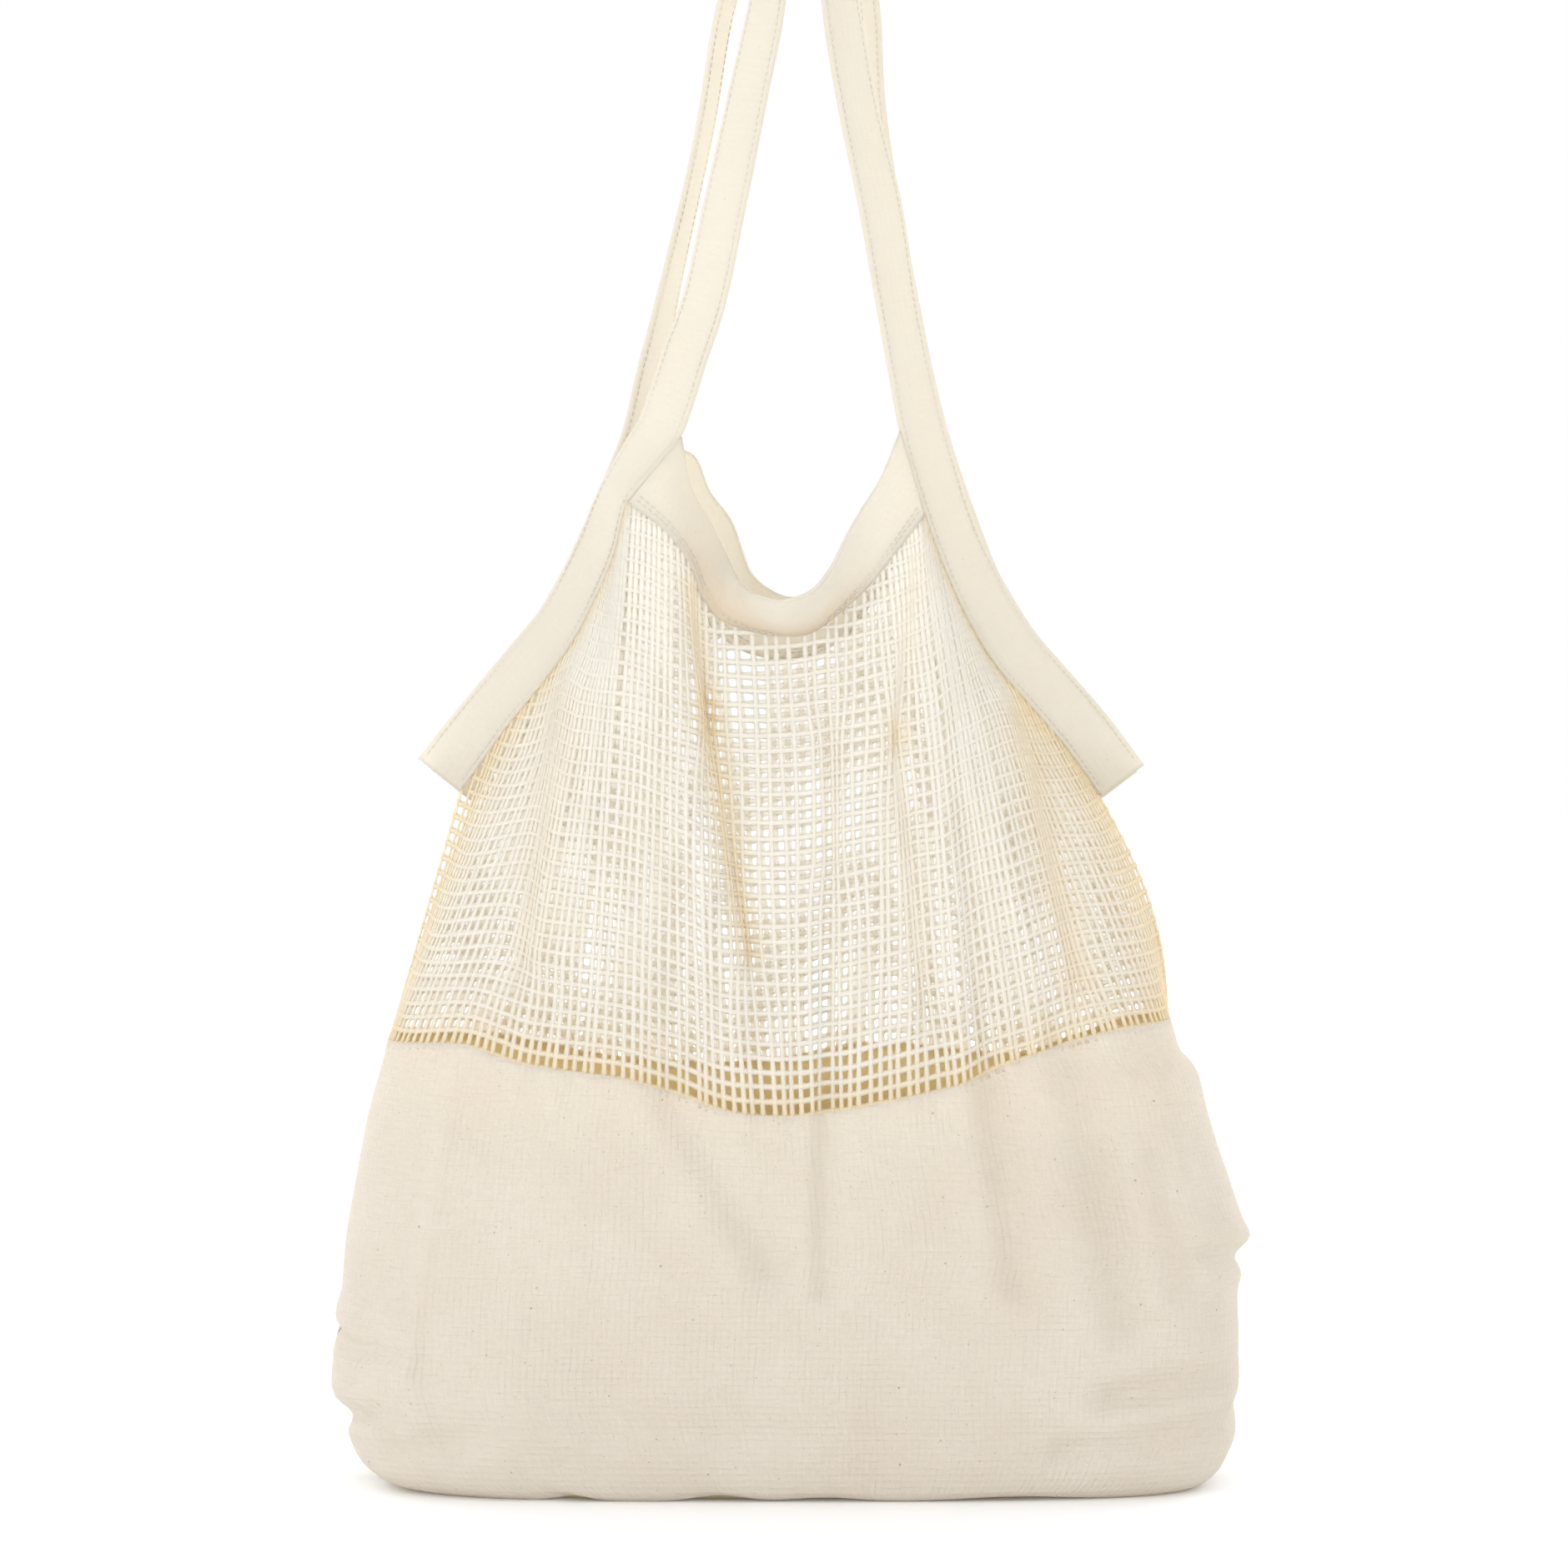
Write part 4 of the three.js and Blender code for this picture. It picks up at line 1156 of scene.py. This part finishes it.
class Net:
    """A net panel as a surface: across 0 to 1 from left to right, up in millimetres of net
    from the canvas seam, and where each column meets the bands."""

    def __init__(self, tape, edges, side, seed):
        self.tape, self.edges, self.side, self.seed = tape, edges, side, seed
        half = front_half if side < 0 else back_half
        self.seam_shares = front_shares if side < 0 else back_shares
        normals = normals_of(half)[-1] * (1 if side < 0 else -1)
        self.seam = half[-1] - normals * CANVAS_THICKNESS / 2

    def low(self, across):
        return np.stack([np.interp(across, self.seam_shares, self.seam[:, k]) for k in range(3)], 1)

    def top(self, across):
        low_left, low_right = self.tape.joins["low"]
        left = np.clip(across / NECK_LEFT, 0, 1) ** SHOULDER_GATHER * low_left
        right = np.clip((1 - across) / (1 - NECK_RIGHT), 0, 1) ** SHOULDER_GATHER
        right = 1 - right * (1 - low_right)
        even = np.clip((across - NECK_LEFT) / (NECK_RIGHT - NECK_LEFT), 0, 1)
        run = even - RIM_GATHER * np.sin(2 * math.pi * even) / (2 * math.pi)
        rim_low = self.edges["low"].at(run)[:, :3]
        away = unit(rim_low - self.edges["top"].at(run)[:, :3])
        point = rim_low + away * NET_SETBACK
        point = np.where((across < NECK_LEFT)[:, None], self.tape.edge(left, NET_SETBACK), point)
        return np.where((across > NECK_RIGHT)[:, None], self.tape.edge(right, NET_SETBACK), point)

    def length(self, across):
        return np.linalg.norm(self.top(across) - self.low(across), axis=1)

    def at(self, across, up):
        """Points at shares across and shares up; up may run a little past 0 and 1."""
        low, top = self.low(across), self.top(across)
        point = low + (top - low) * up[:, None]
        bow = np.sin(math.pi * np.clip(up, 0, 1))
        point[:, 0] += SIDE_BULGE * bow * across**6
        point[:, 1] += self.side * PANEL_BULGE * bow * np.sin(math.pi * across)
        x, z = point[:, 0], point[:, 2]
        press = ripples(x, z, NET_WAVES, self.seed)
        ease = np.clip(bow * EASE_UP, 0, 1)
        ease = ease * np.clip(np.sin(math.pi * across) * EASE_ACROSS, 0, 1)
        if self.side < 0:
            press = press + pressed_in(NET_FOLDS, x, z, BODY_HEIGHT)
            point[:, 0] -= crowd(NET_FOLDS, x, z, BODY_HEIGHT) * ease
        point[:, 1] -= self.side * press * ease
        point[:, 1] = self.side * np.maximum(self.side * point[:, 1], HALF_APART)
        return point

    def outward(self, across, up):
        after, before = np.clip(across + NET_STEP, 0, 1), np.clip(across - NET_STEP, 0, 1)
        wide = self.at(after, up) - self.at(before, up)
        tall = self.at(across, up + NET_STEP) - self.at(across, up - NET_STEP)
        return unit(np.cross(wide, tall)) * (1 if self.side < 0 else -1)

    def glow(self, across, up):
        """How much painted warm shade the thread gets, 0 to 1: in deep folds and where the net turns
        in beside the bands, at the sides and above the seam, where shade falls."""
        point = self.at(across, up)
        long = self.length(across)
        from_seam, from_top = up * long, (1 - up) * long
        at_band = np.exp(-np.maximum(from_top, 0) / BAND_GLOW)
        at_band = at_band * ((across < NECK_LEFT) | (across > NECK_RIGHT))
        at_seam = np.exp(-np.maximum(from_seam, 0) / SEAM_GLOW)
        at_side = np.exp(-((across / LEFT_GLOW) ** 2))
        at_side = at_side + np.exp(-(((1 - across) / RIGHT_GLOW) ** 2))
        deep = pressed_in(NET_FOLDS, point[:, 0], point[:, 2], BODY_HEIGHT) / GLOW_DEPTH
        deep = np.clip(deep, 0, 1) ** 2 * (1.0 if self.side < 0 else BACK_FOLD_SHARE)
        glow = BAND_STRENGTH * at_band + at_seam + SIDE_STRENGTH * at_side + FOLD_STRENGTH * deep
        return np.clip(glow, 0, 1)

    def thread(self, across, up, wide, deep):
        """A line for tubes, through points of the panel."""
        centres, normals = self.at(across, up), self.outward(across, up)
        return centres, normals, wide, deep, self.glow(across, up)

    def lines(self):
        made = np.random.default_rng(self.seed)
        fine = np.linspace(0, 1, FINE_STEPS)
        width = np.linalg.norm(np.diff(self.low(fine), axis=0), axis=1).sum()
        columns = int(round(width / CELL_ACROSS))
        lines = []
        lengths = self.length(fine)
        places = np.linspace(0, 1, columns + 1)
        places[1:-1] += made.uniform(-PILLAR_SCATTER, PILLAR_SCATTER, columns - 1) / columns
        for across in places:
            long = float(np.interp(across, fine, lengths))
            heights = np.arange(-TUCK, long + TUCK, CELL_UP / 2)
            heights = np.append(heights, long + TUCK)
            sway = made.uniform(-SWAY_SCATTER, SWAY_SCATTER)
            sway = sway + SWAY * np.sin(heights / SWAY_LONG + made.uniform(0, ANY_PHASE))
            shares = np.clip(across + sway / columns, 0, 1)
            wide = PILLAR_WIDE * (1 + PILLAR_KNOT * np.cos(2 * math.pi * heights / CELL_UP))
            lines.append(self.thread(shares, heights / long, wide, PILLAR_DEEP))
        for k in range(int(lengths.max() / CELL_UP) + 1):
            across = np.linspace(0, 1, 2 * columns + 1)
            height = k * CELL_UP + WAVER * np.sin(across * WAVER_TURNS + k)
            height = height + made.uniform(-STRAND_SCATTER, STRAND_SCATTER)
            long = np.interp(across, fine, lengths)
            inside = height < long + STRAND_PAST
            for run in np.split(np.arange(len(across)), np.where(~inside)[0]):
                run = run[inside[run]]
                if len(run) < 3:
                    continue
                shares = across[run]
                wide = STRAND_WIDE * (1 + STRAND_KNOT * np.cos(2 * math.pi * shares * columns))
                lines.append(self.thread(shares, height[run] / long[run], wide, STRAND_DEEP))
        return lines


net_front = Net(front_tape, front_rim, -1, 21)
net_back = Net(back_tape, back_rim, 1, 22)


def build_net(name, node, net):
    points, faces, uvs = tubes(net.lines())
    return add_piece(name, to_frame(points), faces, uvs, net_material, node)


mesh_front = build_net("mesh_front", "net_front", net_front)
mesh_back = build_net("mesh_back", "net_back", net_back)


# Stitching

STITCH_PITCH = 3.2
STITCH_LONG = 2.3
STITCH_THICK = 0.55
STITCH_FIRST = 0.5
# One stitch: along as a share of its length, lift in millimetres, full as a share of its
# thickness
STITCH_SHAPE = table(
    "along lift full",
    (0.0, -0.25, 0.5),
    (0.2, 0.12, 1.0),
    (0.5, 0.2, 1.05),
    (0.8, 0.12, 1.0),
    (1.0, -0.25, 0.5),
)
# Where stitches lie through a tape, as a share of its thickness, and along it
STITCH_SUNK = 0.36
TAPE_RUN = np.linspace(0.004, 0.996, 500)
RIM_RUN = np.linspace(0.01, 0.99, 300)
RIM_SEAMS = (0.1, 0.16)
RIM_SEAM_STEP = 0.03


def stitches(centres, normals):
    """Short threads lying on a line of points, one every stitch pitch."""
    reach = walked(centres)
    lines = []
    for start in np.arange(STITCH_FIRST, reach[-1] - STITCH_LONG, STITCH_PITCH):
        at = start + STITCH_LONG * STITCH_SHAPE["along"]
        line = np.stack([np.interp(at, reach, centres[:, k]) for k in range(3)], axis=1)
        out = unit(np.stack([np.interp(at, reach, normals[:, k]) for k in range(3)], axis=1))
        thick = STITCH_THICK * STITCH_SHAPE["full"]
        lines.append((line + out * STITCH_SHAPE["lift"][:, None], out, thick, thick, 0.0))
    return lines


def tape_stitches(tape, from_edge):
    middle, across, through = tape.frame(TAPE_RUN)
    place = middle + across * (from_edge - TAPE_WIDTH / 2)
    lines = []
    for face in (1, -1):
        lines += stitches(place + through * face * TAPE_THICKNESS * STITCH_SUNK, through * face)
    return lines


stitch_lines = []
for tape in (front_tape, back_tape):
    stitch_lines += tape_stitches(tape, STITCH_FROM_EDGE)
    stitch_lines += tape_stitches(tape, TAPE_WIDTH - STITCH_FROM_EDGE)
for edges, bulge in ((front_rim, FRONT_BOW), (back_rim, BACK_BOW)):
    for up in RIM_SEAMS:
        three_ups = np.array([up - RIM_SEAM_STEP, up, up + RIM_SEAM_STEP])
        three = rim_surface(edges, RIM_RUN, three_ups, bulge)
        out = normals_of(three)[1]
        for face in (1, -1):
            stitch_lines += stitches(three[1] + out * face * RIM_THICKNESS * 0.5, out * face)
stitch_points, stitch_faces, stitch_uvs = tubes(stitch_lines)
stitching = add_piece(
    "stitching", to_frame(stitch_points), stitch_faces, stitch_uvs, stitch_material
)

# Floor and light

FLOOR_HEIGHT = -HANG_HEIGHT / 1000


def simple_material(name, colour, roughness, glow):
    n = Nodes(name)
    place = n.add("ShaderNodeTexCoord").outputs["Object"]
    tone = n.noise(place, 3.0, 2.0)
    lighter = tuple(min(1.0, c * 1.01) for c in colour)
    n.link(n.mix(n.spread(tone, 0.3, 0.7), colour, lighter), n.shader.inputs["Base Color"])
    n.put(n.shader, Roughness=roughness, Specular_IOR_Level=0.1)
    n.put(n.shader, Emission_Color=(1.0, 1.0, 1.0, 1.0), Emission_Strength=glow)
    return n.material


FLOOR_HALF = 6.0
FLOOR_CORNERS = ((-1, -1), (1, -1), (1, 1), (-1, 1))
floor_mesh = bpy.data.meshes.new("floor")
floor_mesh.from_pydata(
    [(x * FLOOR_HALF, y * FLOOR_HALF, FLOOR_HEIGHT) for x, y in FLOOR_CORNERS], [], [(0, 1, 2, 3)]
)
floor_mesh.materials.append(simple_material("floor_white", (0.96, 0.965, 0.97), 0.9, 0.04))
add_object("floor", floor_mesh)

world = bpy.data.worlds.new("studio")
world.use_nodes = True
background = world.node_tree.nodes["Background"]
background.inputs["Color"].default_value = (1.0, 1.0, 1.0, 1.0)
background.inputs["Strength"].default_value = 1.0
bpy.context.scene.world = world


def add_area_light(name, place, target, size, power, colour=(1, 1, 1)):
    data = bpy.data.lights.new(name, "AREA")
    data.shape = "RECTANGLE"
    data.size, data.size_y = size
    data.energy = power
    data.color = colour
    light = add_object(name, data)
    light.location = place
    look_at(light, target)


BAG_MIDDLE = (0, 0, -0.45)
add_area_light("key", (-2.1, -1.5, 0.0), BAG_MIDDLE, (1.0, 1.0), 14, (0.93, 0.975, 1.0))
add_area_light("front", (1.1, -2.7, 0.1), BAG_MIDDLE, (1.4, 1.4), 13)
add_area_light("top", (0.2, 0.3, 1.6), (0, 0.01, -0.6), (2.0, 2.0), 4)
add_area_light("back_left", (-1.4, 1.3, 0.0), BAG_MIDDLE, (1.0, 1.0), 11)
add_area_light("back_right", (1.4, 1.3, 0.0), BAG_MIDDLE, (1.0, 1.0), 11)

view = bpy.context.scene.view_settings
view.view_transform = "Standard"
view.look = "None"
view.exposure = 0.0
view.gamma = 1.0
